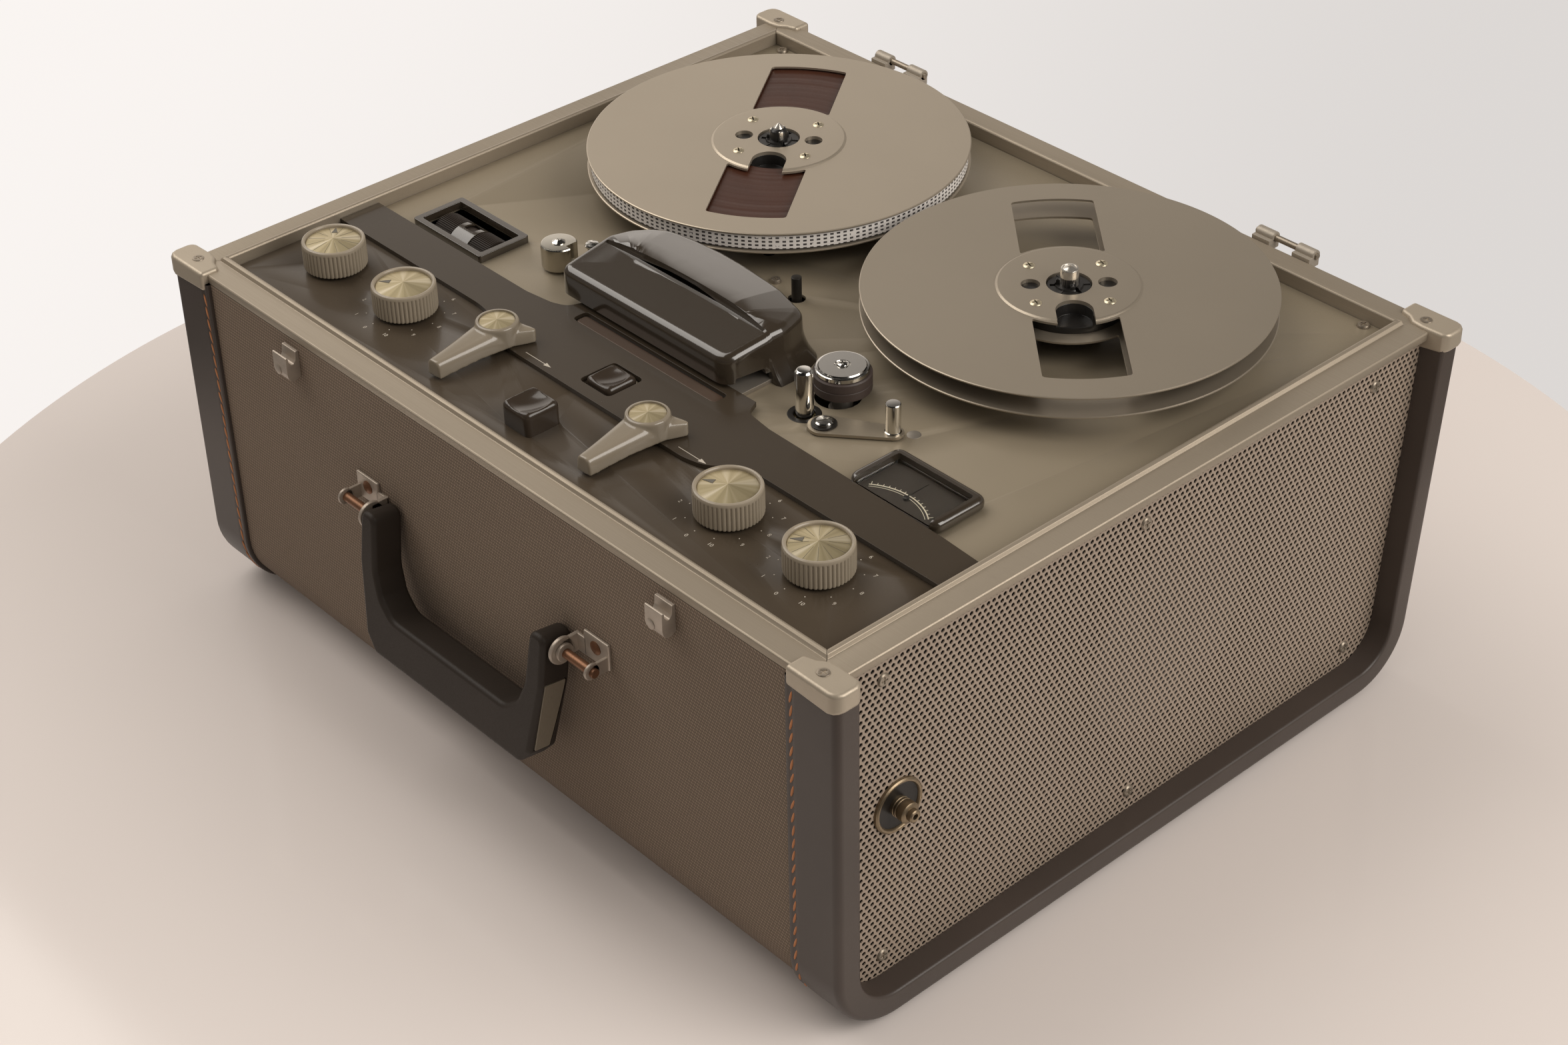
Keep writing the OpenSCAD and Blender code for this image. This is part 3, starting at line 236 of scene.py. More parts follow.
def dress(node, material, soft):
    """A solid keeps its shape, gets its finish, and its sharp edges are eased."""
    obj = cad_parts[node]
    obj.data.materials.clear()
    obj.data.materials.append(material)
    choose(obj)
    bpy.ops.object.shade_smooth()
    weld = obj.modifiers.new("Weld", "WELD")
    weld.merge_threshold = 2e-6
    flat = obj.modifiers.new("Flat", "DECIMATE")
    flat.decimate_type = "DISSOLVE"
    flat.angle_limit = math.radians(0.5)
    if soft:
        edge = obj.modifiers.new("Edge", "BEVEL")
        edge.width = soft * MM
        edge.segments = 2
        edge.limit_method = "ANGLE"
        edge.angle_limit = math.radians(30)
        edge.harden_normals = True
        edge.use_clamp_overlap = True


# Finishes


class Finish:
    """A material built node by node on Object coordinates."""

    def __init__(self, name, colour, rough, metal=0.0, coat=0.0, specular=0.5):
        self.mat = bpy.data.materials.new(name)
        self.mat.use_nodes = True
        self.nodes = self.mat.node_tree.nodes
        self.links = self.mat.node_tree.links
        self.shader = self.nodes["Principled BSDF"]
        self.shader.inputs["Base Color"].default_value = (*colour, 1)
        self.shader.inputs["Roughness"].default_value = rough
        self.shader.inputs["Metallic"].default_value = metal
        self.shader.inputs["Coat Weight"].default_value = coat
        self.shader.inputs["Coat Roughness"].default_value = 0.08
        self.shader.inputs["Specular IOR Level"].default_value = specular
        self.coords = self.add("ShaderNodeTexCoord")
        self.height = None

    def add(self, kind, **settings):
        node = self.nodes.new(kind)
        for key, value in settings.items():
            setattr(node, key, value)
        return node

    def place(self, scale=(1, 1, 1), turn=(0, 0, 0), move=(0, 0, 0), source="Object"):
        mapping = self.add("ShaderNodeMapping")
        self.links.new(self.coords.outputs[source], mapping.inputs["Vector"])
        mapping.inputs["Scale"].default_value = scale
        mapping.inputs["Rotation"].default_value = turn
        mapping.inputs["Location"].default_value = move
        return mapping.outputs["Vector"]

    def noise(self, scale, detail, vector=None):
        node = self.add("ShaderNodeTexNoise")
        node.inputs["Scale"].default_value = scale
        node.inputs["Detail"].default_value = detail
        node.inputs["Roughness"].default_value = 0.55
        self.links.new(vector or self.coords.outputs["Object"], node.inputs["Vector"])
        return node.outputs["Fac"]

    def cells(self, scale, vector):
        node = self.add("ShaderNodeTexVoronoi", feature="F1")
        node.inputs["Scale"].default_value = scale
        self.links.new(vector, node.inputs["Vector"])
        return node.outputs["Distance"]

    def wave(self, scale, vector, direction="X"):
        node = self.add("ShaderNodeTexWave", wave_type="BANDS", bands_direction=direction,
                        wave_profile="SIN")
        node.inputs["Scale"].default_value = scale
        node.inputs["Distortion"].default_value = 0.0
        self.links.new(vector, node.inputs["Vector"])
        return node.outputs["Fac"]

    def maths(self, kind, a, b):
        node = self.add("ShaderNodeMath", operation=kind)
        for socket, value in zip(node.inputs, (a, b)):
            if isinstance(value, (int, float)):
                socket.default_value = value
            else:
                self.links.new(value, socket)
        return node.outputs["Value"]

    def ramp(self, source, stops):
        node = self.add("ShaderNodeValToRGB")
        for index, (at, value) in enumerate(stops):
            if index < 2:
                stop = node.color_ramp.elements[index]
                stop.position = at
            else:
                stop = node.color_ramp.elements.new(at)
            stop.color = (*value, 1) if isinstance(value, (tuple, list)) else (value, value, value, 1)
        self.links.new(source, node.inputs["Fac"])
        return node.outputs["Color"]

    def mix(self, factor, a, b):
        node = self.add("ShaderNodeMix", data_type="RGBA")
        for socket, value in zip((node.inputs[0], node.inputs[6], node.inputs[7]), (factor, a, b)):
            if isinstance(value, (int, float)):
                socket.default_value = value
            elif isinstance(value, (tuple, list)):
                socket.default_value = (*value, 1)
            else:
                self.links.new(value, socket)
        return node.outputs[2]

    def paint(self, source):
        self.links.new(source, self.shader.inputs["Base Color"])
        return self

    def roughen(self, source, low, high):
        node = self.add("ShaderNodeMapRange")
        node.inputs["To Min"].default_value = low
        node.inputs["To Max"].default_value = high
        self.links.new(source, node.inputs["Value"])
        self.links.new(node.outputs["Result"], self.shader.inputs["Roughness"])
        return self

    def relief(self, source, depth, strength=0.6):
        """Bump of the given depth in metres."""
        node = self.add("ShaderNodeBump")
        node.inputs["Strength"].default_value = strength
        node.inputs["Distance"].default_value = depth
        self.links.new(source, node.inputs["Height"])
        if self.height:
            self.links.new(self.height, node.inputs["Normal"])
        self.height = node.outputs["Normal"]
        self.links.new(self.height, self.shader.inputs["Normal"])
        return self


def shade(colour, factor):
    return tuple(min(1.0, c * factor) for c in colour)


def plain(name, colour, rough, metal=0.0, coat=0.0, vary=0.12, grain=900, depth=0.02, patch=18, **more):
    """A moulded, painted or cast finish: cloudy tone, grain in the gloss and a fine relief."""
    f = Finish(name, colour, rough, metal, coat, **more)
    cloud = f.noise(patch, 4)
    f.paint(f.mix(cloud, shade(colour, 1 - vary), shade(colour, 1 + vary)))
    grit = f.noise(grain, 2)
    f.roughen(grit, max(0.02, rough * 0.8), min(1, rough * 1.25))
    f.relief(grit, depth * MM)
    return f.mat


def brushed(name, colour, rough, along="X", metal=1.0):
    """Metal with fine lines along one axis, or wood with its grain."""
    f = Finish(name, colour, rough, metal)
    stretch = 60
    sizes = {"X": (1, stretch, stretch), "Y": (stretch, 1, stretch), "Z": (stretch, stretch, 1)}[along]
    lines = f.noise(40, 5, vector=f.place(scale=sizes))
    cloud = f.noise(9, 4)
    tone = f.mix(cloud, shade(colour, 0.9), shade(colour, 1.1))
    f.paint(f.mix(f.maths("MULTIPLY", lines, 0.35), tone, shade(colour, 0.62)))
    f.roughen(lines, rough * 0.7, min(1, rough * 1.5))
    f.relief(lines, 0.02 * MM, 0.4)
    return f.mat


def spun(name, colour, rough, centre, metal):
    """Metal with rings round a vertical axis at centre."""
    f = Finish(name, colour, rough, metal)
    vector = f.place(move=(-centre[0], -centre[1], 0))
    node = f.add("ShaderNodeTexWave", wave_type="RINGS", rings_direction="Z", wave_profile="SIN")
    node.inputs["Scale"].default_value = 900
    node.inputs["Distortion"].default_value = 2.0
    node.inputs["Detail"].default_value = 3.0
    node.inputs["Detail Scale"].default_value = 2.0
    f.links.new(vector, node.inputs["Vector"])
    ring = node.outputs["Fac"]
    cloud = f.noise(14, 3)
    tone = f.mix(cloud, shade(colour, 0.94), shade(colour, 1.06))
    f.paint(f.mix(f.maths("MULTIPLY", ring, 0.12), tone, shade(colour, 0.7)))
    f.roughen(ring, rough * 0.85, rough * 1.2)
    f.relief(ring, 0.003 * MM, 0.3)
    return f.mat


def woven(name, colour):
    """Tweed: a fine diagonal twill of two browns, on the map that follows the covering, in metres."""
    f = Finish(name, colour, 0.85, specular=0.3)
    slant = f.wave(235, vector=f.place(turn=(0, 0, math.radians(36)), source="UV"))
    rows = f.wave(200, vector=f.place(source="UV"), direction="Y")
    knots = f.maths("MULTIPLY", slant, rows)
    cloud = f.noise(13, 4)
    fleck = f.noise(1100, 2)
    dark = f.mix(cloud, shade(colour, 0.62), shade(colour, 0.80))
    light = f.mix(fleck, shade(colour, 1.15), shade(colour, 2.1))
    f.paint(f.mix(knots, dark, light))
    f.relief(knots, 0.16 * MM, 0.7)
    f.relief(fleck, 0.06 * MM, 0.5)
    return f.mat


def knob_brass(name):
    """Spun brass whose light and dark sectors round the turn are painted reflections in its colour, on a map
    of turn and radius.
    """
    f = Finish(name, (0.50, 0.43, 0.24), 0.32, 0.75)
    turns = f.place(scale=(1, 0, 0), source="UV")
    painted_reflection_sectors = f.noise(9, 2, vector=turns)
    fine = f.noise(160, 3, vector=turns)
    # The ramp paints cream and dark brown sectors round the disc: painted highlights and painted reflections.
    tone = f.ramp(painted_reflection_sectors, ((0.28, (0.27, 0.215, 0.12)), (0.5, (0.55, 0.465, 0.29)),
                        (0.72, (0.88, 0.79, 0.62))))
    f.paint(f.mix(f.maths("MULTIPLY", fine, 0.4), tone, (0.30, 0.25, 0.13)))
    f.roughen(fine, 0.25, 0.42)
    return f.mat


def leader_print(name):
    """White tape with a generic print of short dark dashes, on a map in metres."""
    f = Finish(name, (0.70, 0.67, 0.64), 0.45)
    along = f.wave(105, vector=f.place(source="UV"))
    rows = f.wave(170, vector=f.place(source="UV"), direction="Y")
    breaks = f.cells(260, vector=f.place(source="UV"))
    marks = f.maths("MULTIPLY", f.maths("GREATER_THAN", along, 0.45), f.maths("GREATER_THAN", rows, 0.5))
    marks = f.maths("MULTIPLY", marks, f.maths("GREATER_THAN", breaks, 0.22))
    f.paint(f.mix(marks, (0.70, 0.67, 0.64), (0.05, 0.045, 0.045)))
    return f.mat


FINISH = {}


def make_finishes():
    c = bpy.context.scene.recorder_colours
    FINISH.update(
        tweed=woven("tweed_cloth", c.tweed),
        leather=plain("binding_leather", c.leather, 0.42, grain=2200, depth=0.05, vary=0.25),
        stitch=plain("stitch_thread", c.stitch, 0.8, grain=4000, depth=0.1),
        ply=brushed("birch_plywood", (0.62, 0.50, 0.36), 0.6, metal=0.0),
        grille=plain("grille_paint", c.grille, 0.5, vary=0.08),
        # Near-black paint on the end boards behind the grilles, which makes the grille holes read dark.
        baffle=plain("end_board_near_black", (0.018, 0.016, 0.014), 0.9),
        foot=plain("foot_rubber", (0.05, 0.05, 0.05), 0.8),
        rim_x=brushed("rim_aluminium", c.rim, 0.42, "X", metal=0.55),
        cast=plain("cast_caps", (0.42, 0.36, 0.28), 0.42, 0.5, grain=700, depth=0.04),
        screw=plain("screw_steel", (0.34, 0.29, 0.23), 0.4, 0.8),
        hinge=plain("hinge_steel", (0.40, 0.355, 0.295), 0.5, 0.6, vary=0.1, patch=40),
        bracket=plain("bracket_plate", (0.42, 0.36, 0.30), 0.42, 0.6, vary=0.25, patch=150),
        copper=plain("pin_copper", (0.22, 0.11, 0.06), 0.4, 0.7, vary=0.3, patch=200),
        handle=plain("handle_vinyl", c.handle, 0.5, vary=0.2, grain=1600, depth=0.03, specular=0.25),
        inlay=brushed("inlay_aluminium", (0.30, 0.26, 0.20), 0.4, "Z", metal=0.6),
        socket=plain("socket_brass", (0.26, 0.20, 0.13), 0.38, 0.9, vary=0.2, patch=80),
        black_metal=plain("speaker_black", (0.05, 0.05, 0.05), 0.6),
        steel=plain("chassis_steel", (0.40, 0.36, 0.31), 0.45, 0.8),
        enamel=plain("transformer_enamel", (0.16, 0.18, 0.2), 0.4),
        motor=plain("motor_enamel", (0.3, 0.31, 0.32), 0.4),
        brass=plain("turned_brass", (0.62, 0.50, 0.28), 0.3, 1.0),
        belt=plain("belt_rubber", (0.03, 0.03, 0.03), 0.7),
        chrome=plain("polished_steel", (0.72, 0.70, 0.66), 0.14, 1.0, vary=0.06, depth=0.003),
        pin=plain("spindle_steel", (0.66, 0.62, 0.56), 0.24, 0.85, vary=0.06, depth=0.003),
        deck=plain("deck_paint", c.deck, 0.42, 0.25, grain=2600, depth=0.012, vary=0.06),
        panel=plain("panel_brown", c.panel, 0.30, coat=0.12, vary=0.1, depth=0.004, specular=0.35),
        strip=plain("strip_brown", c.strip, 0.24, coat=0.15, vary=0.1, depth=0.004, specular=0.3),
        cover=plain("cover_brown", shade(c.strip, 0.8), 0.2, coat=1.0, vary=0.1, depth=0.001, specular=0.5),
        bronze=plain("shutter_bronze", (0.075, 0.048, 0.032), 0.3, 0.3),
        roller=plain("roller_rubber", (0.05, 0.035, 0.03), 0.5),
        black=plain("black_plastic", (0.014, 0.012, 0.010), 0.35, specular=0.3),
        card=plain("meter_card", (0.70, 0.66, 0.54), 0.6),
        dark_card=plain("meter_dark", (0.035, 0.027, 0.021), 0.6, specular=0.25),
        # Both reels are one metal: the supply reel's copy is painted lighter and the takeup reel's darker, as
        # painted light and painted shade.
        reel_supply=spun("reel_left_metal_painted_light", shade(c.reel, 1.07), 0.36, middle("supply_reel"), 0.7),
        reel_takeup=spun("reel_right_metal_painted_shade", shade(c.reel, 0.87), 0.36, middle("takeup_reel"), 0.7),
        hub=plain("hub_black", (0.012, 0.011, 0.010), 0.3),
        tape=plain("tape_brown", (0.044, 0.015, 0.008), 0.34, vary=0.3, patch=60, specular=0.28),
        leader=leader_print("leader_pale"),
        knob=plain("knob_taupe", c.knob, 0.32, coat=0.2, vary=0.07, depth=0.004),
        lever=plain("lever_taupe", shade(c.knob, 0.8), 0.24, coat=0.4, vary=0.05, depth=0.003),
        disc=knob_brass("disc_brass_painted_reflections"),
        ink=plain("disc_ink", (0.10, 0.09, 0.07), 0.5),
        print=plain("print_cream", (0.42, 0.38, 0.32), 0.6, vary=0.03, depth=0.001),
        hub_screw=plain("hub_screws", (0.66, 0.58, 0.42), 0.3, 0.8, depth=0.004),
        guide=plain("guide_steel", (0.60, 0.57, 0.50), 0.2, 1.0, vary=0.05, depth=0.003),
        arm=plain("arm_plate", (0.34, 0.29, 0.22), 0.35, 0.7, vary=0.12, patch=90),
        wheel=plain("wheel_black", (0.030, 0.022, 0.017), 0.5, vary=0.2, specular=0.2),
        button=plain("button_brown", (0.034, 0.025, 0.018), 0.2, coat=0.35, depth=0.003, specular=0.35),
    )
    glass = Finish("window_glass", (0.95, 0.95, 0.92), 0.03)
    glass.shader.inputs["Transmission Weight"].default_value = 1.0
    glass.shader.inputs["IOR"].default_value = 1.18
    FINISH["glass"] = glass.mat


# What a user may change

SWATCH = {"size": 3, "min": 0, "max": 1}


class RecorderColours(bpy.types.PropertyGroup):
    """Colours of the main finishes"""

    tweed: FloatVectorProperty(
        name="Tweed", description="Cloth on the case", subtype="COLOR", default=(0.170, 0.126, 0.092),
        **SWATCH
    )
    leather: FloatVectorProperty(
        name="Leather", description="Bindings at both ends", subtype="COLOR", default=(0.050, 0.037, 0.030),
        **SWATCH
    )
    stitch: FloatVectorProperty(
        name="Stitches", description="Thread in the leather", subtype="COLOR", default=(0.42, 0.17, 0.07),
        **SWATCH
    )
    grille: FloatVectorProperty(
        name="Grille", description="Perforated sides", subtype="COLOR", default=(0.29, 0.23, 0.18), **SWATCH
    )
    rim: FloatVectorProperty(
        name="Rim", description="Aluminium round the deck", subtype="COLOR", default=(0.36, 0.305, 0.235),
        **SWATCH
    )
    handle: FloatVectorProperty(
        name="Handle", description="Carry handle", subtype="COLOR", default=(0.028, 0.021, 0.016), **SWATCH
    )
    deck: FloatVectorProperty(
        name="Deck", description="Painted deck plate", subtype="COLOR", default=(0.25, 0.21, 0.15), **SWATCH
    )
    panel: FloatVectorProperty(
        name="Panel", description="Control panel", subtype="COLOR", default=(0.058, 0.044, 0.030), **SWATCH
    )
    strip: FloatVectorProperty(
        name="Strip", description="Raised strip and head cover", subtype="COLOR",
        default=(0.041, 0.031, 0.021), **SWATCH
    )
    knob: FloatVectorProperty(
        name="Knobs", description="Knobs and levers", subtype="COLOR", default=(0.26, 0.22, 0.165), **SWATCH
    )
    reel: FloatVectorProperty(
        name="Reels", description="Reel flanges", subtype="COLOR", default=(0.44, 0.38, 0.30), **SWATCH
    )


class RecorderSizes(bpy.types.PropertyGroup):
    """Sizes of the patterns and the tape"""

    stitch_pitch: FloatProperty(
        name="Stitch pitch", description="From one stitch to the next", default=6.4 * MM, min=3 * MM,
        unit="LENGTH"
    )
    hole_pitch: FloatProperty(
        name="Hole pitch", description="From one grille hole to the next", default=3 * MM, min=2 * MM,
        unit="LENGTH"
    )
    hole_size: FloatProperty(
        name="Hole size", description="Across one grille hole", default=2.2 * MM, min=0.5 * MM,
        unit="LENGTH"
    )
    pack_radius: FloatProperty(
        name="Tape pack", description="Radius of the wound tape", default=86.4 * MM, min=30 * MM,
        max=88 * MM, unit="LENGTH"
    )
    knob_ribs: IntProperty(name="Knob ribs", description="Ribs round each knob", default=48, min=12, max=72)


# The stage


class RECORDER_OT_stage(bpy.types.Operator):
    """Floor, light and the camera at the photograph's place"""

    bl_idname = "recorder.stage"
    bl_label = "Stage"

    def execute(self, context):
        scene = context.scene
        scene.view_settings.view_transform = "Standard"
        bpy.ops.object.camera_add()
        camera = bpy.context.object
        camera.name = "photo_camera"
        right = Vector((0.67252, 0.73988, -0.01701))
        up = Vector((-0.41925, 0.39982, 0.81509))
        look = Vector((-0.60987, 0.54104, -0.57908))
        pose = Matrix((right, up, -look)).transposed().to_4x4()
        pose.translation = Vector((0.78909, -0.71053, 0.80551))
        camera.matrix_world = pose
        camera.data.sensor_width = 36
        camera.data.sensor_fit = "HORIZONTAL"
        camera.data.lens = 65.19
        camera.data.clip_end = 20
        scene.camera = camera

        table = turned("table_top", [
            (0, -4 * MM), (444 * MM, -4 * MM), (446 * MM, -6 * MM), (446 * MM, -26 * MM), (0, -26 * MM),
        ], (10 * MM, -18 * MM, 0), 256)
        paint = Finish("table_white", (0.70, 0.64, 0.61), 0.22, specular=0.5)
        paint.paint(paint.mix(paint.noise(2.2, 3), (0.62, 0.57, 0.545), (0.67, 0.62, 0.595)))
        paint.roughen(paint.noise(5, 4), 0.07, 0.14)
        table.data.materials.append(paint.mat)
        smooth(table)
        self.light(scene)
        return {"FINISHED"}

    def light(self, scene):
        """Even room light, a bright backdrop low down for reflections, and two soft lamps."""
        world = bpy.data.worlds.new("studio")
        scene.world = world
        world.use_nodes = True
        nodes, links = world.node_tree.nodes, world.node_tree.links
        back = nodes["Background"]
        path = nodes.new("ShaderNodeLightPath")
        tint = nodes.new("ShaderNodeMix")
        tint.data_type = "RGBA"
        tint.inputs[6].default_value = (1, 0.92, 0.84, 1)
        tint.inputs[7].default_value = (1, 0.955, 0.925, 1)
        links.new(path.outputs["Is Camera Ray"], tint.inputs[0])
        links.new(tint.outputs[2], back.inputs["Color"])
        coords = nodes.new("ShaderNodeTexCoord")
        axes = nodes.new("ShaderNodeSeparateXYZ")
        links.new(coords.outputs["Generated"], axes.inputs[0])

        def spread_along(axis, low, high, first, last):
            """A level that runs smoothly from first to last as a direction turns along an axis."""
            node = nodes.new("ShaderNodeMapRange")
            node.interpolation_type = "SMOOTHSTEP"
            for name, value in (("From Min", low), ("From Max", high), ("To Min", first), ("To Max", last)):
                node.inputs[name].default_value = value
            links.new(axes.outputs[axis], node.inputs["Value"])
            return node.outputs["Result"]

        glow = spread_along("Z", 0.42, 0.62, 0.97, 0.12)
        for factor in (spread_along("X", -0.70, -0.50, 1.0, 0.25),
                       spread_along("Y", -0.3, 0.35, 0.16, 1.0)):
            product = nodes.new("ShaderNodeMath")
            product.operation = "MULTIPLY"
            links.new(glow, product.inputs[0])
            links.new(factor, product.inputs[1])
            glow = product.outputs[0]
        seen = spread_along("X", -0.84, -0.48, 0.955, 0.72)
        level = 0.54
        for ray, strength in (("Is Glossy Ray", glow), ("Is Camera Ray", seen),
                              ("Is Transmission Ray", 0.6)):
            pick = nodes.new("ShaderNodeMix")
            links.new(path.outputs[ray], pick.inputs[0])
            for socket, value in ((pick.inputs[2], level), (pick.inputs[3], strength)):
                if isinstance(value, float):
                    socket.default_value = value
                else:
                    links.new(value, socket)
            level = pick.outputs[0]
        links.new(level, back.inputs["Strength"])
        for name, place, size, power in (
            ("key_light", (-1.5, -0.5, 2.0), 2.0, 36),
            ("right_light", (1.6, 0.5, 1.3), 1.4, 30),
        ):
            bpy.ops.object.light_add(type="AREA", location=place)
            lamp = bpy.context.object
            lamp.name = name
            lamp.data.size = size
            lamp.data.energy = power
            lamp.data.color = (1, 0.95, 0.89)
            lamp.rotation_euler = (-Vector(place)).to_track_quat("-Z", "Y").to_euler()


class RECORDER_OT_solids(bpy.types.Operator):
    """Finishes for every solid that keeps its own shape"""

    bl_idname = "recorder.solids"
    bl_label = "Solids"

    def execute(self, context):
        make_finishes()
        f = FINISH
        looks = {
            "case_shell": ("ply", 0), "case_cloth": ("tweed", 0), "leather_bindings": ("leather", 0.6),
            "end_boards": ("baffle", 0), "side_grilles": ("grille", 0), "rubber_feet": ("foot", 0.6),
            "rim_bars": ("rim_x", 0.25), "corner_caps": ("cast", 0.7), "case_screws": ("screw", 0.1),
            "lid_hinges": ("hinge", 0.3), "latch_catches": ("cast", 0.35),
            "handle_brackets": ("hinge", 0.3),
            "handle_grip": ("handle", 1.2), "handle_inlays": ("inlay", 0.15),
            "side_sockets": ("socket", 0.3),
            "speakers": ("black_metal", 0), "amplifier_chassis": ("steel", 0),
            "amplifier_valves": ("glass", 0),
            "transformer": ("enamel", 0), "motor": ("motor", 0), "motor_pulley": ("brass", 0),
            "drive_belt": ("belt", 0), "flywheel": ("steel", 0.3), "capstan": ("chrome", 0.2),
            "capstan_bearing": ("brass", 0), "deck_plate": ("deck", 0.2), "control_panel": ("panel", 0.2),
            "trim_strip": ("strip", 0.7), "head_cover": ("cover", 0.6), "head_plate": ("steel", 0.1),
            "tape_heads": ("chrome", 0.2), "head_gate": ("bronze", 0.3), "tape_guides": ("chrome", 0.3),
            "pinch_arm": ("steel", 0.1), "pinch_roller": ("roller", 0.5), "pinch_disc": ("chrome", 0.3),
            "tension_arm": ("chrome", 0.2), "shift_arm": ("black", 0.2), "window_bezel": ("panel", 0.4),
            "counter_wheels": ("black", 0.1), "meter_bezel": ("cover", 0.6),
            "meter_movement": ("dark_card", 0.2),
            "meter_needle": ("black", 0), "meter_glass": ("glass", 0.1), "supply_table": ("hub", 0.3),
            "takeup_table": ("hub", 0.3), "supply_reel": ("reel_supply", 0.2),
            "takeup_reel": ("reel_takeup", 0.2),
            "supply_hub": ("hub", 0.2), "takeup_hub": ("hub", 0.2), "tape_pack": ("tape", 0),
            "control_pots": ("steel", 0.1), "selector_knob": ("knob", 0.2), "volume_knob": ("knob", 0.2),
            "radio_knob": ("knob", 0.2), "microphone_knob": ("knob", 0.2),
            "fast_wind_lever": ("lever", 0.5),
            "play_lever": ("lever", 0.5), "stop_button": ("button", 0.8), "record_button": ("button", 0.8),
        }
        for node, (look, soft) in looks.items():
            dress(node, f[look], soft)
        return {"FINISHED"}


# The case


LEAN = math.atan2(13, 174)
FRONT_R, BACK_R = 31 * MM, 29 * MM
BACK_Y = 180 * MM
FRONT_C = Vector((0, FRONT_Y + FRONT_R, FRONT_R))
BACK_C = Vector((0, BACK_Y + ((BACK_R - RIM_TOP) * math.sin(LEAN) - BACK_R) / math.cos(LEAN), BACK_R))
WALL_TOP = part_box("case_cloth")[1].z
SOCKET_Y, SOCKET_Z = FRONT_Y + 39.7 * MM, 93.3 * MM


def along_case(y, z):
    """Distance along the covering from the top of the front wall, for a place on or near it."""
    drop, arc = WALL_TOP - FRONT_C.z, FRONT_R * math.pi / 2
    flat = BACK_C.y - FRONT_C.y
    if z >= FRONT_C.z and y < 0:
        return WALL_TOP - z
    if y <= FRONT_C.y:
        return drop - FRONT_R * math.atan2(FRONT_C.y - y, FRONT_C.z - z + 1e-9) + arc
    if y < BACK_C.y:
        return drop + arc + y - FRONT_C.y
    turn = math.atan2(y - BACK_C.y, BACK_C.z - z)
    if turn <= math.pi / 2 - LEAN:
        return drop + arc + flat + BACK_R * turn
    rise = (z - BACK_C.z) * math.cos(LEAN) + (y - BACK_C.y) * math.sin(LEAN)
    return drop + arc + flat + BACK_R * (math.pi / 2 - LEAN) + rise


def wrap_case(name, section, steps=12):
    """Carries a section, as (x, distance outwards) pairs in mm, round the case from front to back."""
    draw_outline([(x * MM, FRONT_Y - out * MM, WALL_TOP) for x, out in section])
    move = bpy.ops.mesh.extrude_region_move
    move(TRANSFORM_OT_translate={"value": (0, 0, FRONT_C.z - WALL_TOP)})
    bpy.ops.mesh.spin(steps=steps, angle=math.pi / 2, center=FRONT_C, axis=(-1, 0, 0))
    move(TRANSFORM_OT_translate={"value": (0, BACK_C.y - FRONT_C.y, 0)})
    bpy.ops.mesh.spin(steps=steps, angle=math.pi / 2 - LEAN, center=BACK_C, axis=(-1, 0, 0))
    rise = Vector((0, math.sin(LEAN), math.cos(LEAN))) * (WALL_TOP - BACK_C.z + 20 * MM)
    move(TRANSFORM_OT_translate={"value": rise})
    bpy.ops.mesh.select_all(action="SELECT")
    bpy.ops.mesh.bisect(plane_co=(0, 0, WALL_TOP), plane_no=(0, 0, 1), use_fill=True, clear_outer=True)
    bpy.ops.object.mode_set(mode="OBJECT")
    obj = rename(name)
    close_up(obj)
    return obj


def fresh_map(obj, name):
    """The only UV map that the piece keeps, still to be filled in."""
    while obj.data.uv_layers:
        obj.data.uv_layers.remove(obj.data.uv_layers[0])
    return obj.data.uv_layers.new(name=name)


def unroll(obj):
    """A UV map in metres: across, and along the covering from front to back."""
    layer = fresh_map(obj, "weave")
    for face in obj.data.polygons:
        for loop in face.loop_indices:
            p = obj.data.vertices[obj.data.loops[loop].vertex_index].co
            layer.data[loop].uv = (p.x, along_case(p.y, p.z))


def mirrored(obj, name):
    """A copy on the other side of the machine, with its own mesh."""
    choose(obj)
    bpy.ops.object.duplicate(linked=False)
    twin = rename(name)
    twin.scale = (-1, 1, 1)
    settle(twin)
    close_up(twin, 1e-7)
    return twin


class RECORDER_OT_cloth(bpy.types.Operator):
    """Tweed cloth round the front, underside and back"""

    bl_idname = "recorder.cloth"
    bl_label = "Cloth"

    def execute(self, context):
        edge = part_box("case_cloth")[1].x / MM
        section = [(-edge, 0), (edge, 0), (edge, -0.95), (-edge, -0.95)]
        cloth = wrap_case("tweed_covering", section)
        unroll(cloth)
        fit(cloth, "case", FINISH["tweed"], ("case_cloth",))
        return {"FINISHED"}


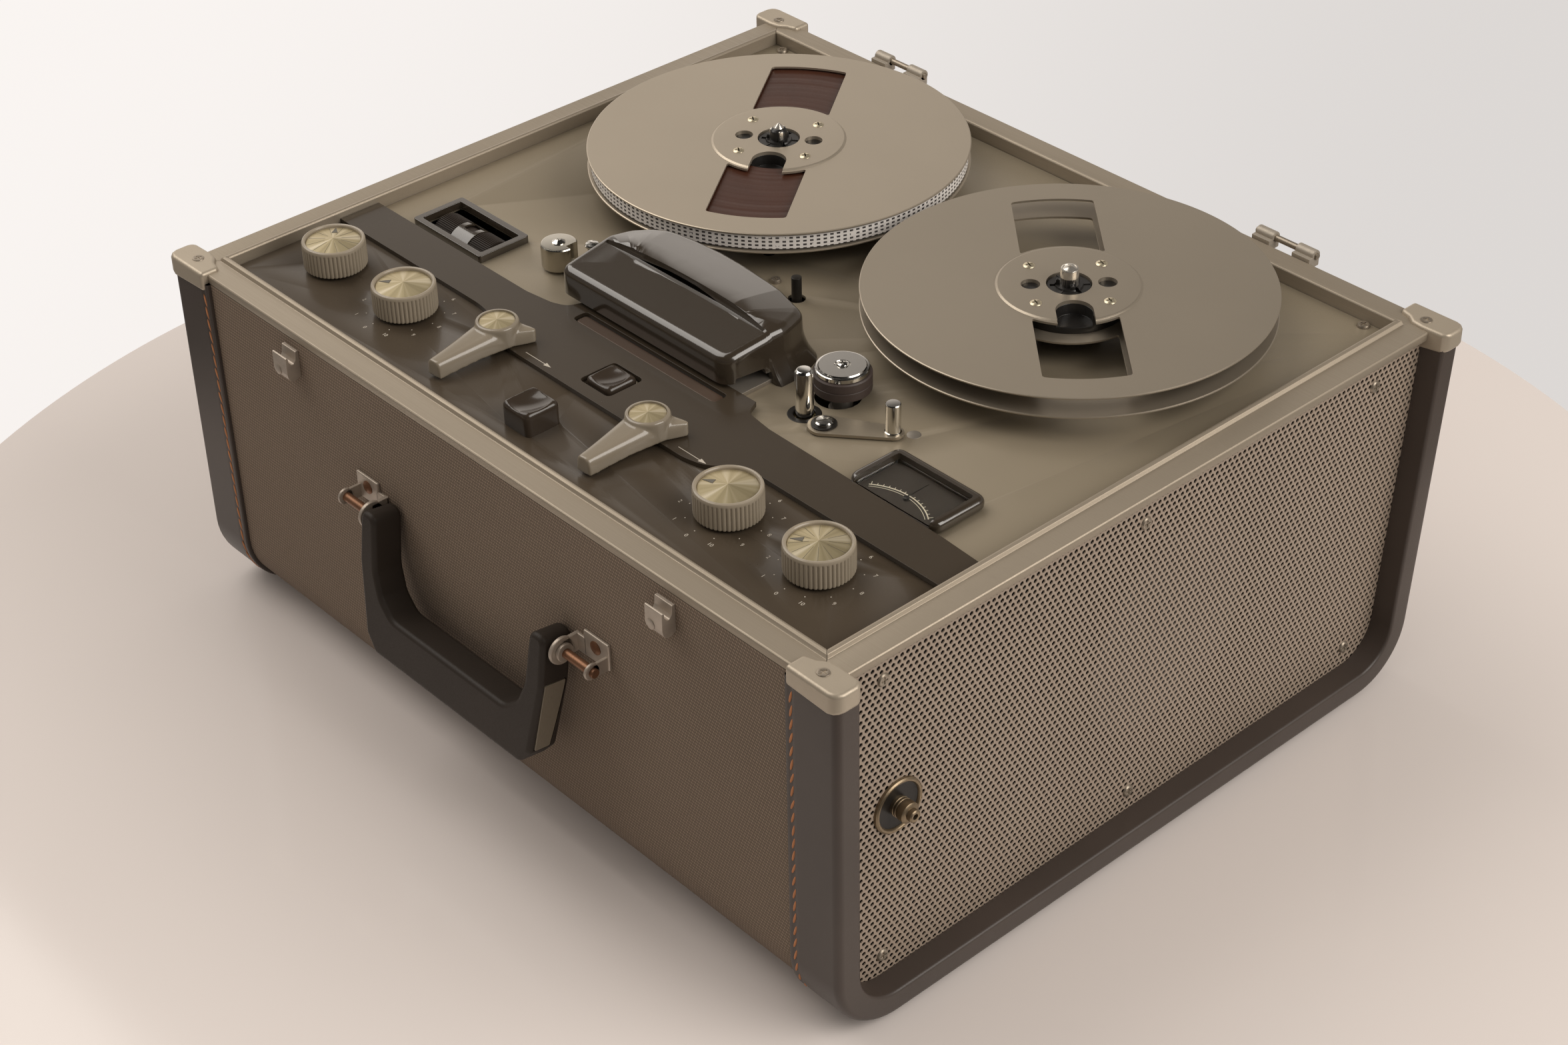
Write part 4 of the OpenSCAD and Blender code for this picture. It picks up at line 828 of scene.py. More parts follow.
class RECORDER_OT_leather(bpy.types.Operator):
    """Leather bindings with their row of stitches"""

    bl_idname = "recorder.leather"
    bl_label = "Leather and stitches"

    def execute(self, context):
        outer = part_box("leather_bindings")[1].x / MM
        inner = outer - 28
        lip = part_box("side_grilles")[1].x / MM + 0.1
        turns = (0, 0.4, 0.8, 1.2, math.pi / 2)
        round_edge = [(outer - 3.5 + 3.5 * math.sin(a), 2 - 3.5 + 3.5 * math.cos(a)) for a in turns]
        section = [(inner, 0.02), (inner, 1.3), (inner + 0.35, 1.8), (inner + 0.9, 2.0),
                   (inner + 2.3, 1.95),
                   (inner + 3.4, 1.62), (inner + 4.6, 1.95), (inner + 6, 2.0), *round_edge, (outer, -8.6),
                   (outer - 0.5, -9.6), (outer - 1.5, -10), (lip, -10), (lip, -8.2), (outer - 2.1, -8.2),
                   (outer - 2.1, 0.02)]
        right = wrap_case("leather_right", section, 14)
        unroll(right)
        left = mirrored(right, "leather_left")
        stitches = self.sew(context, inner + 3.4)
        other = mirrored(stitches, "stitches_left")
        fit(right, "case", FINISH["leather"], ("leather_bindings",), 50)
        fit(left, "case", FINISH["leather"], ("leather_bindings",), 50)
        fit(stitches, "case", FINISH["stitch"])
        fit(other, "case", FINISH["stitch"])
        return {"FINISHED"}

    def sew(self, context, x):
        """One waxed stitch after another along the seam, each dipping into the leather at its ends."""
        pitch = context.scene.recorder_sizes.stitch_pitch
        bpy.ops.mesh.primitive_uv_sphere_add(segments=8, ring_count=6, radius=0.6 * MM)
        seed = rename("stitch_seed")
        seed.scale = (1, pitch / MM * 0.86, 0.8)
        settle(seed)
        drop, arc = WALL_TOP - FRONT_C.z, FRONT_R * math.pi / 2
        flat, bend = BACK_C.y - FRONT_C.y, BACK_R * (math.pi / 2 - LEAN)
        rise = (WALL_TOP - BACK_C.z) / math.cos(LEAN)
        whole = drop + arc + flat + bend + rise
        chance = random.Random(7)
        made, out, s = [], 1.75 * MM, 9 * MM
        while s < whole - 6 * MM:
            if s < drop:
                place, turn = Vector((0, FRONT_Y - out, WALL_TOP - s)), 0.0
            elif s < drop + arc:
                turn = (s - drop) / FRONT_R
                place = FRONT_C + (FRONT_R + out) * Vector((0, -math.cos(turn), -math.sin(turn)))
            elif s < drop + arc + flat:
                turn = math.pi / 2
                place = Vector((0, FRONT_C.y + s - drop - arc, -out))
            elif s < drop + arc + flat + bend:
                turn = math.pi / 2 + (s - drop - arc - flat) / BACK_R
                place = BACK_C + (BACK_R + out) * Vector((0, -math.cos(turn), -math.sin(turn)))
            else:
                turn = math.pi - LEAN
                away = Vector((0, math.cos(LEAN), -math.sin(LEAN)))
                climb = Vector((0, math.sin(LEAN), math.cos(LEAN)))
                place = BACK_C + (BACK_R + out) * away + climb * (s - drop - arc - flat - bend)
            place.x = x * MM + chance.uniform(-0.15, 0.15) * MM
            slant = Matrix.Rotation(0.30 + chance.uniform(-0.08, 0.08), 4, "Z")
            made.append(Matrix.Translation(place) @ (Matrix.Rotation(turn - math.pi / 2, 4, "X") @ slant))
            s += pitch
        return spread(seed, made, "stitches_right")


def spread(seed, places, name):
    """Copies of a small piece at the given places, joined into one mesh."""
    verts, faces = [], []
    count = len(seed.data.vertices)
    for n, place in enumerate(places):
        verts += [place @ v.co for v in seed.data.vertices]
        faces += [[n * count + i for i in f.vertices] for f in seed.data.polygons]
    choose(seed)
    bpy.ops.object.delete()
    return from_faces(name, verts, faces)


class RECORDER_OT_grilles(bpy.types.Operator):
    """Perforated sheets at both ends, every hole punched"""

    bl_idname = "recorder.grilles"
    bl_label = "Side grilles"

    def execute(self, context):
        sizes = context.scene.recorder_sizes
        face_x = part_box("side_grilles")[1].x
        pitch, hole = sizes.hole_pitch, sizes.hole_size / 2
        row = pitch * math.sqrt(3) / 2
        corner = pitch / math.sqrt(3)
        border, socket_clear = 8.6 * MM, 7.4 * MM
        lows = (FRONT_Y + border, border)
        highs = (BACK_Y - border, RIM_TOP - 2.3 * MM)
        socket = Vector((SOCKET_Y, SOCKET_Z))
        verts, faces, known = [], [], {}

        def vert(x, y, z):
            key = (round(x * 1e6), round(y * 1e6), round(z * 1e6))
            if key not in known:
                known[key] = len(verts)
                verts.append((x, y, z))
            return known[key]

        def inside(y, z):
            if not (lows[0] < y and lows[1] < z < highs[1]):
                return False
            if y > highs[0] - (RIM_TOP - z) * math.tan(LEAN):
                return False
            for c, r in ((FRONT_C, FRONT_R), (BACK_C, BACK_R)):
                out = (y < c.y) if c is FRONT_C else (y > c.y)
                if out and z < c.z and math.hypot(y - c.y, z - c.z) > r - border:
                    return False
            return (Vector((y, z)) - socket).length > socket_clear

        spokes = [(math.cos(a), math.sin(a)) for a in (math.pi / 6 + k * math.pi / 3 for k in range(6))]
        rows = int((highs[1] - lows[1]) / row) + 2
        columns = int((highs[0] - lows[0]) / pitch) + 2
        for i in range(rows):
            for j in range(columns):
                y = lows[0] + (j + 0.5 * (i % 2)) * pitch
                z = lows[1] + i * row
                if not inside(y, z):
                    continue
                rim = [vert(face_x, y + corner * c, z + corner * s) for c, s in spokes]
                edge = [vert(face_x, y + hole * c, z + hole * s) for c, s in spokes]
                deep = [vert(face_x - 0.5 * MM, y + hole * c, z + hole * s) for c, s in spokes]
                for k in range(6):
                    n = (k + 1) % 6
                    faces.append((rim[k], rim[n], edge[n], edge[k]))
                    faces.append((edge[k], edge[n], deep[n], deep[k]))
        right = from_faces("grille_right", verts, faces)
        left = mirrored(right, "grille_left")
        for sheet in (right, left):
            fit(sheet, "case", FINISH["grille"], ("side_grilles",), 30)
        return {"FINISHED"}


class RECORDER_OT_caps(bpy.types.Operator):
    """Cast corner caps with a rounded nose and a curved skirt"""

    bl_idname = "recorder.caps"
    bl_label = "Corner caps"

    def execute(self, context):
        low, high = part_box("corner_caps")
        top, out_x, out_y = high.z, high.x, -low.y
        foot, long = WALL_TOP - 3.4 * MM, 27.6
        plan = [(-long, 0.2), (-long, 9.6), (-22, 11.2), (-18.5, 13.8), (-13, 14.6), (-3, 14.2),
                (-0.8, 13.0), (0, 10.6),
                (0, 4.6), (-0.9, 2.1), (-2.6, 0.6), (-5, 0)]
        made = []
        corners = (("front_right", 1, -1), ("front_left", -1, -1), ("back_right", 1, 1),
                   ("back_left", -1, 1))
        for name, sx, sy in corners:
            reach = out_y if sy < 0 else high.y
            pts = [(sx * (out_x + x * MM), sy * (reach - y * MM)) for x, y in plan]
            cap = slab("cap_" + name, pts, foot, top)
            for v in cap.data.vertices:
                if v.co.z < foot + 1e-5:
                    near = abs(abs(v.co.x) - out_x) / (long * MM)
                    v.co.z = foot - 2.1 * MM * math.sin(min(1, near) * math.pi)
            bevel(cap, 1.7 * MM, 5, 35)
            made.append(cap)
        caps = join(made, "corner_castings")
        fit(caps, "case", FINISH["cast"], ("corner_caps",), 60)
        return {"FINISHED"}


# The deck's own pieces


def rings_to_shell(name, rings):
    """Bridges closed rings of equally many points, one above the other, and fills the last one."""
    count = len(rings[0])
    verts = [Vector(p) for ring in rings for p in ring]
    faces = [(r * count + i, r * count + (i + 1) % count, (r + 1) * count + (i + 1) % count,
              (r + 1) * count + i)
             for r in range(len(rings) - 1) for i in range(count)]
    faces.append(tuple(range((len(rings) - 1) * count, len(rings) * count)))
    obj = from_faces(name, verts, faces)
    close_up(obj, 1e-5)
    return obj


def cut(obj, tool):
    """Takes the tool's shape away from the piece; the tool is deleted afterwards."""
    choose(obj)
    mod = obj.modifiers.new("Cut", "BOOLEAN")
    mod.operation = "DIFFERENCE"
    mod.solver = "EXACT"
    mod.object = tool
    bpy.ops.object.modifier_apply(modifier=mod.name)
    choose(tool)
    bpy.ops.object.delete()
    choose(obj)


def melt(obj, voxel, rounds):
    """Fuses overlapping lumps into one moulded skin with soft fillets."""
    modify(obj, "REMESH", mode="VOXEL", voxel_size=voxel)
    modify(obj, "SMOOTH", factor=0.5, iterations=rounds)
    return obj


def bent(points, radii, steps=6):
    """The outline through points with each corner rounded by its radius, all in the same unit."""
    out = []
    count = len(points)
    for i, (p, r) in enumerate(zip(points, radii)):
        p, a, b = Vector(p), Vector(points[i - 1]), Vector(points[(i + 1) % count])
        if not r:
            out.append(tuple(p))
            continue
        u, v = (a - p).normalized(), (b - p).normalized()
        half = u.angle(v) / 2
        back = min(r / math.tan(half), 0.49 * (a - p).length, 0.49 * (b - p).length)
        start, end = p + u * back, p + v * back
        for k in range(steps + 1):
            t = k / steps
            out.append(tuple((1 - t) ** 2 * start + 2 * t * (1 - t) * p + t * t * end))
    return out


def rounded(x, y, half_x, half_y, r):
    """A rectangle round x and y with its corners rounded by r."""
    corners = [(x - half_x, y - half_y), (x + half_x, y - half_y), (x + half_x, y + half_y),
               (x - half_x, y + half_y)]
    return bent(corners, [r] * 4)


def polar_uv(obj, centre):
    """A UV map that holds the turn round a vertical axis and the distance from it."""
    layer = fresh_map(obj, "polar")
    for face in obj.data.polygons:
        mid = math.atan2(face.center.y - centre[1], face.center.x - centre[0])
        for loop in face.loop_indices:
            p = obj.data.vertices[obj.data.loops[loop].vertex_index].co
            r = math.hypot(p.x - centre[0], p.y - centre[1])
            turn = math.atan2(p.y - centre[1], p.x - centre[0]) if r > 1e-6 else mid
            turn += 2 * math.pi * round((mid - turn) / (2 * math.pi))
            layer.data[loop].uv = (turn / (2 * math.pi), r)


class RECORDER_OT_cover(bpy.types.Operator):
    """Head cover: a low front block with a soft edge, a ridge line and a dome behind it"""

    bl_idname = "recorder.cover"
    bl_label = "Head cover"

    def execute(self, context):
        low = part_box("head_cover")[0]
        front = low.y / MM
        left, ridge, right = low.x / MM, front + 23, 38.0
        foot, mouth = DECK_TOP / MM + 5.5, DECK_TOP / MM + 7.7
        plan = bent(
            [(left, front), (right - 0.6, front), (right + 1.5, ridge), (right + 1.5, ridge + 10),
             (right - 4, front + 47.5),
             (12, front + 53.5), (-12, front + 56.4), (-28, front + 57), (-44, front + 55.4),
             (-57, front + 52.5),
             (left + 7, front + 46), (left + 2.5, front + 37), (left + 1, ridge + 4)],
            [6, 8, 30, 16, 9, 40, 40, 40, 40, 16, 12, 16, 20], 8)
        top_of = self.top_of(front, left, right, ridge)
        edge, rings = 4.0, []
        pts = [Vector(p) for p in plan]
        count = len(pts)
        inward = []
        for i, p in enumerate(pts):
            t = (pts[(i + 1) % count] - pts[i - 1]).normalized()
            inward.append(Vector((-t.y, t.x)))
        base = DECK_TOP / MM + 0.1

        def flare(p):
            return 7.0 * max(0, min(1, (p.x - 22) / 14)) * max(0, min(1, (p.y - ridge + 3) / 3))

        for z, share in ((base, 1.0), (base + 2.2, 0.72), (base + 5, 0.42), (base + 8.5, 0.18),
                         (base + 12, 0.04)):
            rings.append([(p.x - n.x * flare(p) * share, p.y - n.y * flare(p) * share, z) for p,
                          n in zip(pts, inward)])
        for k in range(7):
            a = math.pi / 2 * k / 6
            ring = []
            for p, n in zip(pts, inward):
                q = p + n * edge * (1 - math.cos(a))
                rim = p + n * edge
                ring.append((q.x, q.y, top_of(rim.x, rim.y) - edge + edge * math.sin(a)))
            rings.append(ring)
        for t in (0.12, 0.3, 0.5, 0.7, 0.86, 0.97):
            ring = []
            for p, n in zip(pts, inward):
                rim = p + n * edge
                spine = Vector((max(left + 26, min(right - 18, rim.x)), ridge - 1.0 + 0.02 * rim.x))
                q = rim.lerp(spine, t)
                ring.append((q.x, q.y, top_of(q.x, q.y)))
            rings.append(ring)
        shell = rings_to_shell("head_cover_shell", [[Vector(p) * MM for p in ring] for ring in rings])
        modify(shell, "TRIANGULATE")
        modify(shell, "SOLIDIFY", thickness=2.2 * MM, offset=-1, use_even_offset=False)
        cut(shell, box("under_front", (left * MM - 0.01, front * MM - 0.01, base * MM - 0.01),
                       (0.08, (ridge - 1.2) * MM, foot * MM)))
        for x in (left, right):
            cut(shell, box("mouth", ((x - 8) * MM, (front + 5) * MM, base * MM),
                           ((x + 8) * MM, (ridge - 3.6) * MM, mouth * MM), 0.8 * MM))
        cut(shell, self.channel(left, right, ridge))
        fit(shell, "case", FINISH["cover"], ("head_cover",), 32)
        return {"FINISHED"}

    def channel(self, left, right, ridge):
        """The shallow valley between front block and dome, widest in the middle."""
        deck, steps = DECK_TOP / MM, 24
        rings = []
        for z, out in ((deck + 21.45, 0.0), (deck + 22.6, 0.8), (deck + 28, 1.2)):
            rear, fore = [], []
            for i in range(steps + 1):
                t = i / steps
                x = left + 4.5 + (right - left - 7.5) * t
                wide = 0.5 + 2.3 * math.sin(math.pi * t) ** 0.8
                rear.append((x, ridge + wide + out, z))
                fore.append((x, ridge - 0.2 - out * 0.5, z))
            rings.append([Vector(p) * MM for p in fore + rear[::-1]])
        tool = rings_to_shell("channel", rings)
        cap_ends(tool)
        modify(tool, "TRIANGULATE")
        return tool

    def top_of(self, front, left, right, ridge):
        """Height of the cover's top over a place on the deck, in mm."""
        deck = DECK_TOP / MM

        def height(x, y):
            z = deck + 18.0 + 4.0 * max(0, min(1, (y - front) / (ridge - front)))
            back = y - ridge
            if back > 0:
                side = max(0.0, min(1.0, (right + 3 - x) / 24)) ** 0.8 * max(0.0,
                                                                             min(1.0,
                                                                                 (x - left + 2) / 18)) ** 0.8
                swell = 3.7 * math.sin(min(1.0, back / 5) * math.pi / 2) - 0.13 * max(0.0, back - 2)
                swell -= 1.6 * max(0.0, (back - 6) / 27) ** 1.7
                z += swell * side - 2.4 * (back / 25) ** 2 * (1 - side)
            return z

        return height


def knob_body(name, x, y, low, high, radius, ribs):
    """A moulded knob: ribs round the side, a smooth rounded rim and a recess for its disc."""
    per = 6
    ring = []
    for i in range(ribs * per):
        a = 2 * math.pi * i / (ribs * per)
        wave = abs(math.sin(a * ribs / 2)) ** 0.7
        r = radius - 0.55 * MM * (1 - wave)
        ring.append((x + r * math.cos(a), y + r * math.sin(a)))

    def level(z, grow=1.0, fixed=None):
        if fixed is None:
            return [(x + (px - x) * grow, y + (py - y) * grow, z) for px, py in ring]
        return [(x + fixed * math.cos(2 * math.pi * i / len(ring)),
                 y + fixed * math.sin(2 * math.pi * i / len(ring)), z)
                for i in range(len(ring))]

    disc = radius - 1.9 * MM
    rings = [level(low, fixed=3.4 * MM), level(low, fixed=radius - 1.6 * MM), level(low + 0.5 * MM, 0.985),
             level(low + 1.2 * MM),
             level(high - 2.2 * MM), level(high - 1.7 * MM, fixed=radius - 0.1 * MM),
             level(high - 0.9 * MM, fixed=radius - 0.1 * MM),
             level(high - 0.35 * MM, fixed=radius - 0.35 * MM), level(high, fixed=radius - 0.9 * MM),
             level(high - 0.2 * MM, fixed=disc + 0.35 * MM), level(high - 0.6 * MM, fixed=disc),
             level(high - 2.0 * MM, fixed=disc)]
    return rings_to_shell(name, rings)


def cone_disc(name, x, y, z, radius, rise):
    """A spun disc whose middle rises to a point."""
    profile = [(0, 0), (radius, 0), (radius, 0.25 * MM), (radius * 0.97, 0.4 * MM), (0.12 * MM, rise),
               (0, rise)]
    disc = turned(name, profile, (x, y, z), 96)
    polar_uv(disc, (x, y))
    return disc


class RECORDER_OT_knobs(bpy.types.Operator):
    """Four ribbed knobs with spun brass discs, pointers and dividing lines"""

    bl_idname = "recorder.knobs"
    bl_label = "Knobs"

    def execute(self, context):
        sizes = context.scene.recorder_sizes
        for node, body, pointer, lines in (
            ("selector_knob", "selector", 139, 12), ("volume_knob", "volume", 212, 0),
            ("radio_knob", "radio", 200, 0), ("microphone_knob", "microphone", 210, 12),
        ):
            at, top = middle(node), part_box(node)[1].z
            low = PANEL_TOP + 1 * MM
            radius = (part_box(node)[1].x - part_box(node)[0].x) / 2
            knob = knob_body(body + "_knob_body", at.x, at.y, low, top, radius, sizes.knob_ribs)
            shaft = rod(body + "_shaft", (at.x, at.y, low - 9 * MM), 2.95 * MM, 9.5 * MM, 24)
            knob = join([knob, shaft], body + "_knob_body")
            fit(knob, body, FINISH["knob"], (node,), 28)
            seat = top - 1.7 * MM
            disc_r = radius - 1.95 * MM
            disc = cone_disc(body + "_disc", at.x, at.y, seat, disc_r, 1.9 * MM)
            fit(disc, body, FINISH["disc"], (), 12)
            inner, outer, fine = disc_r * 0.50, disc_r * 0.93, disc_r * 0.30
            wedge = [(inner, 1.35 * MM), (inner, -1.35 * MM), (outer, -0.1 * MM), (outer, 0.1 * MM)]
            marks = [self.stroke(body + "_wedge", at, seat, disc_r, pointer, wedge, 0.12 * MM)]
            edge = disc_r * 0.95
            line = [(fine, 0.05 * MM), (fine, -0.05 * MM), (edge, -0.07 * MM), (edge, 0.07 * MM)]
            for k in range(lines):
                a = 360 / lines * k + pointer + 15
                marks.append(self.stroke("dividing_line", at, seat, disc_r, a, line, 0.04 * MM))
            ink = join(marks, body + "_pointer")
            fit(ink, body, FINISH["ink"], (), 30)
        return {"FINISHED"}

    def on_cone(self, seat, disc_r, r):
        """Height of the disc's face at distance r from its middle."""
        return seat + 0.4 * MM + 1.5 * MM * (1 - r / (disc_r * 0.97)) + 0.03 * MM

    def stroke(self, name, at, seat, disc_r, turn, spots, thick):
        """A flat mark on the disc: its corners as pairs of distance from the middle and distance sideways."""
        a = math.radians(turn)
        along, across = Vector((math.cos(a), math.sin(a))), Vector((-math.sin(a), math.cos(a)))
        pts = []
        for r, w in spots:
            p = along * r + across * w
            pts.append((at.x + p.x, at.y + p.y, self.on_cone(seat, disc_r, r)))
        return raised(name, pts, thick)


def lever_hub(node):
    """The turning point of a lever, seen from above."""
    return Vector((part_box(node)[0].x + 13 * MM, FRONT_Y + 61 * MM))


class RECORDER_OT_levers(bpy.types.Operator):
    """Two glossy levers: a round hub, an arm that sweeps down to its tip and a short fin"""

    bl_idname = "recorder.levers"
    bl_label = "Levers"

    def execute(self, context):
        for node, body in (("fast_wind_lever", "fast_wind"), ("play_lever", "play")):
            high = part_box(node)[1]
            x, y = lever_hub(node)
            lever = self.mould(body, x, y, STRIP_TOP + 0.4 * MM, high.z)
            fit(lever, body, FINISH["lever"], (node,), 50)
            disc = cone_disc(body + "_lever_disc", x, y, high.z - 1.45 * MM, 7.8 * MM, 1.1 * MM)
            fit(disc, body, FINISH["disc"], (), 12)
        return {"FINISHED"}

    def mould(self, body, x, y, low, high):
        tall = high - low
        lumps = [rod("hub", (x, y, low), 9.5 * MM, tall - 0.4 * MM, 96, soft=0.9 * MM)]
        stations = []
        steps = 22
        for i in range(steps + 1):
            t = i / steps
            half = 5.4 * (1 - t) ** 1.15 + 4.0
            top = tall / MM * (0.96 - 0.38 * t ** 0.7)
            foot = 0.0 if t < 0.45 else -1.7 * (t - 0.45) / 0.55
            stations.append((36 * t, half, top, foot))
        lumps.append(self.arm("arm", x, y, low, stations, -86))
        fins = []
        for i in range(steps + 1):
            t = i / steps
            fins.append((16.2 * t, 7.6 * (1 - t) ** 0.9 + 1.3, tall / MM * (0.84 - 0.26 * t), 0))
        lumps.append(self.arm("fin", x, y, low, fins, 42))
        lever = melt(join(lumps, body + "_lever_body"), 0.40 * MM, 16)
        cut(lever, rod("seat", (x, y, high - 1.4 * MM), 7.9 * MM, 5 * MM, 96))
        shaft = rod("shaft", (x, y, low - 12 * MM), 3.9 * MM, 12.5 * MM, 32)
        return join([lever, shaft], body + "_lever_body")

    def arm(self, name, x, y, low, stations, turn):
        """A bar of changing width and height, drawn station by station away from the hub."""
        a = math.radians(turn)
        along, across = Vector((math.cos(a), math.sin(a), 0)), Vector((-math.sin(a), math.cos(a), 0))
        rings = []
        for reach, half, top, foot in stations:
            mid = Vector((x, y, low)) + along * reach * MM
            ring = []
            for k in range(17):
                turn_to = math.pi * k / 16
                w = -math.copysign(abs(math.cos(turn_to)) ** 0.55, math.cos(turn_to))
                h = math.sin(turn_to) ** 0.55
                ring.append(mid + across * half * w * MM + Vector((0, 0, (foot + (top - foot) * h) * MM)))
            rings.append(ring)
        bar = rings_to_shell(name, rings)
        cap_ends(bar)
        return bar


class RECORDER_OT_buttons(bpy.types.Operator):
    """Stop and record buttons with dished tops"""

    bl_idname = "recorder.buttons"
    bl_label = "Buttons"

    def execute(self, context):
        for node, body, half, rise, dish in (("stop_button", "stop", 8.7, 2.0, 2.3),
                                             ("record_button", "record", 8.0, 0.6, 1.6)):
            low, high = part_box(node)
            at = middle(node)
            half *= MM
            crown = high.z + rise * MM
            button = box(body + "_button_body", (at.x - half, at.y - half, low.z),
                         (at.x + half, at.y + half, crown), 2.4 * MM, 4)
            bpy.ops.mesh.primitive_uv_sphere_add(segments=96, ring_count=48, radius=17 * MM)
            scoop = rename("scoop")
            scoop.scale = (1, 1.25, 1)
            scoop.location = (at.x, at.y, crown + 17 * MM - dish * MM)
            settle(scoop)
            cut(button, scoop)
            melt(button, 0.36 * MM, 12)
            wide = 11 * MM
            collar = slab("collar", rounded(at.x, at.y, wide, wide, 3 * MM), low.z, low.z + 5 * MM)
            button = join([button, collar], body + "_button_body")
            fit(button, body, FINISH["button"], (node,), 50)
        return {"FINISHED"}


# Reels and tape


def prism(name, points, low, high):
    """A cutter or plate from an outline in mm, between two heights in mm."""
    return slab(name, [(x * MM, y * MM) for x, y in points], low * MM, high * MM)


def ring_arc(radius, start, end, steps, centre=(0, 0)):
    """Points in mm on a circle, from angle start to end in degrees."""
    turns = [math.radians(start + (end - start) * i / steps) for i in range(steps + 1)]
    return [(centre[0] + radius * math.cos(a), centre[1] + radius * math.sin(a)) for a in turns]


def set_down(obj, x, y, turn=0.0, z=0.0):
    """Moves a piece that was modelled at the origin to its place in mm, turned in degrees."""
    obj.location = (x * MM, y * MM, z * MM)
    obj.rotation_euler = (0, 0, math.radians(turn))
    settle(obj)
    return obj


REEL_R, PLATE_R, HUB_R, NOTCH_AT, NOTCH_R = 88.9, 30.4, 25.5, 22.0, 8.0
WINDOW_IN, WINDOW_OUT, WINDOW_HALF = 32.4, 74.4, 18.3
REELS = (("supply", 126), ("takeup", 139))


def window_outline():
    """One window of a flange: arcs at both ends, straight sides and round corners."""
    lean_in = math.degrees(math.asin(WINDOW_HALF / WINDOW_IN))
    lean_out = math.degrees(math.asin(WINDOW_HALF / WINDOW_OUT))
    outer = ring_arc(WINDOW_OUT, -lean_out, lean_out, 12)
    inner = ring_arc(WINDOW_IN, lean_in, -lean_in, 12)
    soft = [3.0] + [0] * 11 + [3.0] + [2.2] + [0] * 11 + [2.2]
    return bent(outer + inner, soft, 5)


def cross_screw(name, radius, rise):
    """A domed screw head with a cross cut into it, modelled at the origin."""
    dome = [(0, -0.6), (radius, -0.6), (radius, 0), (radius * 0.86, rise * 0.55),
            (radius * 0.5, rise * 0.93), (0, rise)]
    head = turned(name, [(r * MM, z * MM) for r, z in dome], steps=32)
    for a in (0, 90):
        bar = box("slot", (-radius * 0.62 * MM, -0.32 * MM, (rise - 0.75) * MM),
                  (radius * 0.62 * MM, 0.32 * MM, 3 * MM))
        set_down(bar, 0, 0, a + 20)
        cut(head, bar)
    return head


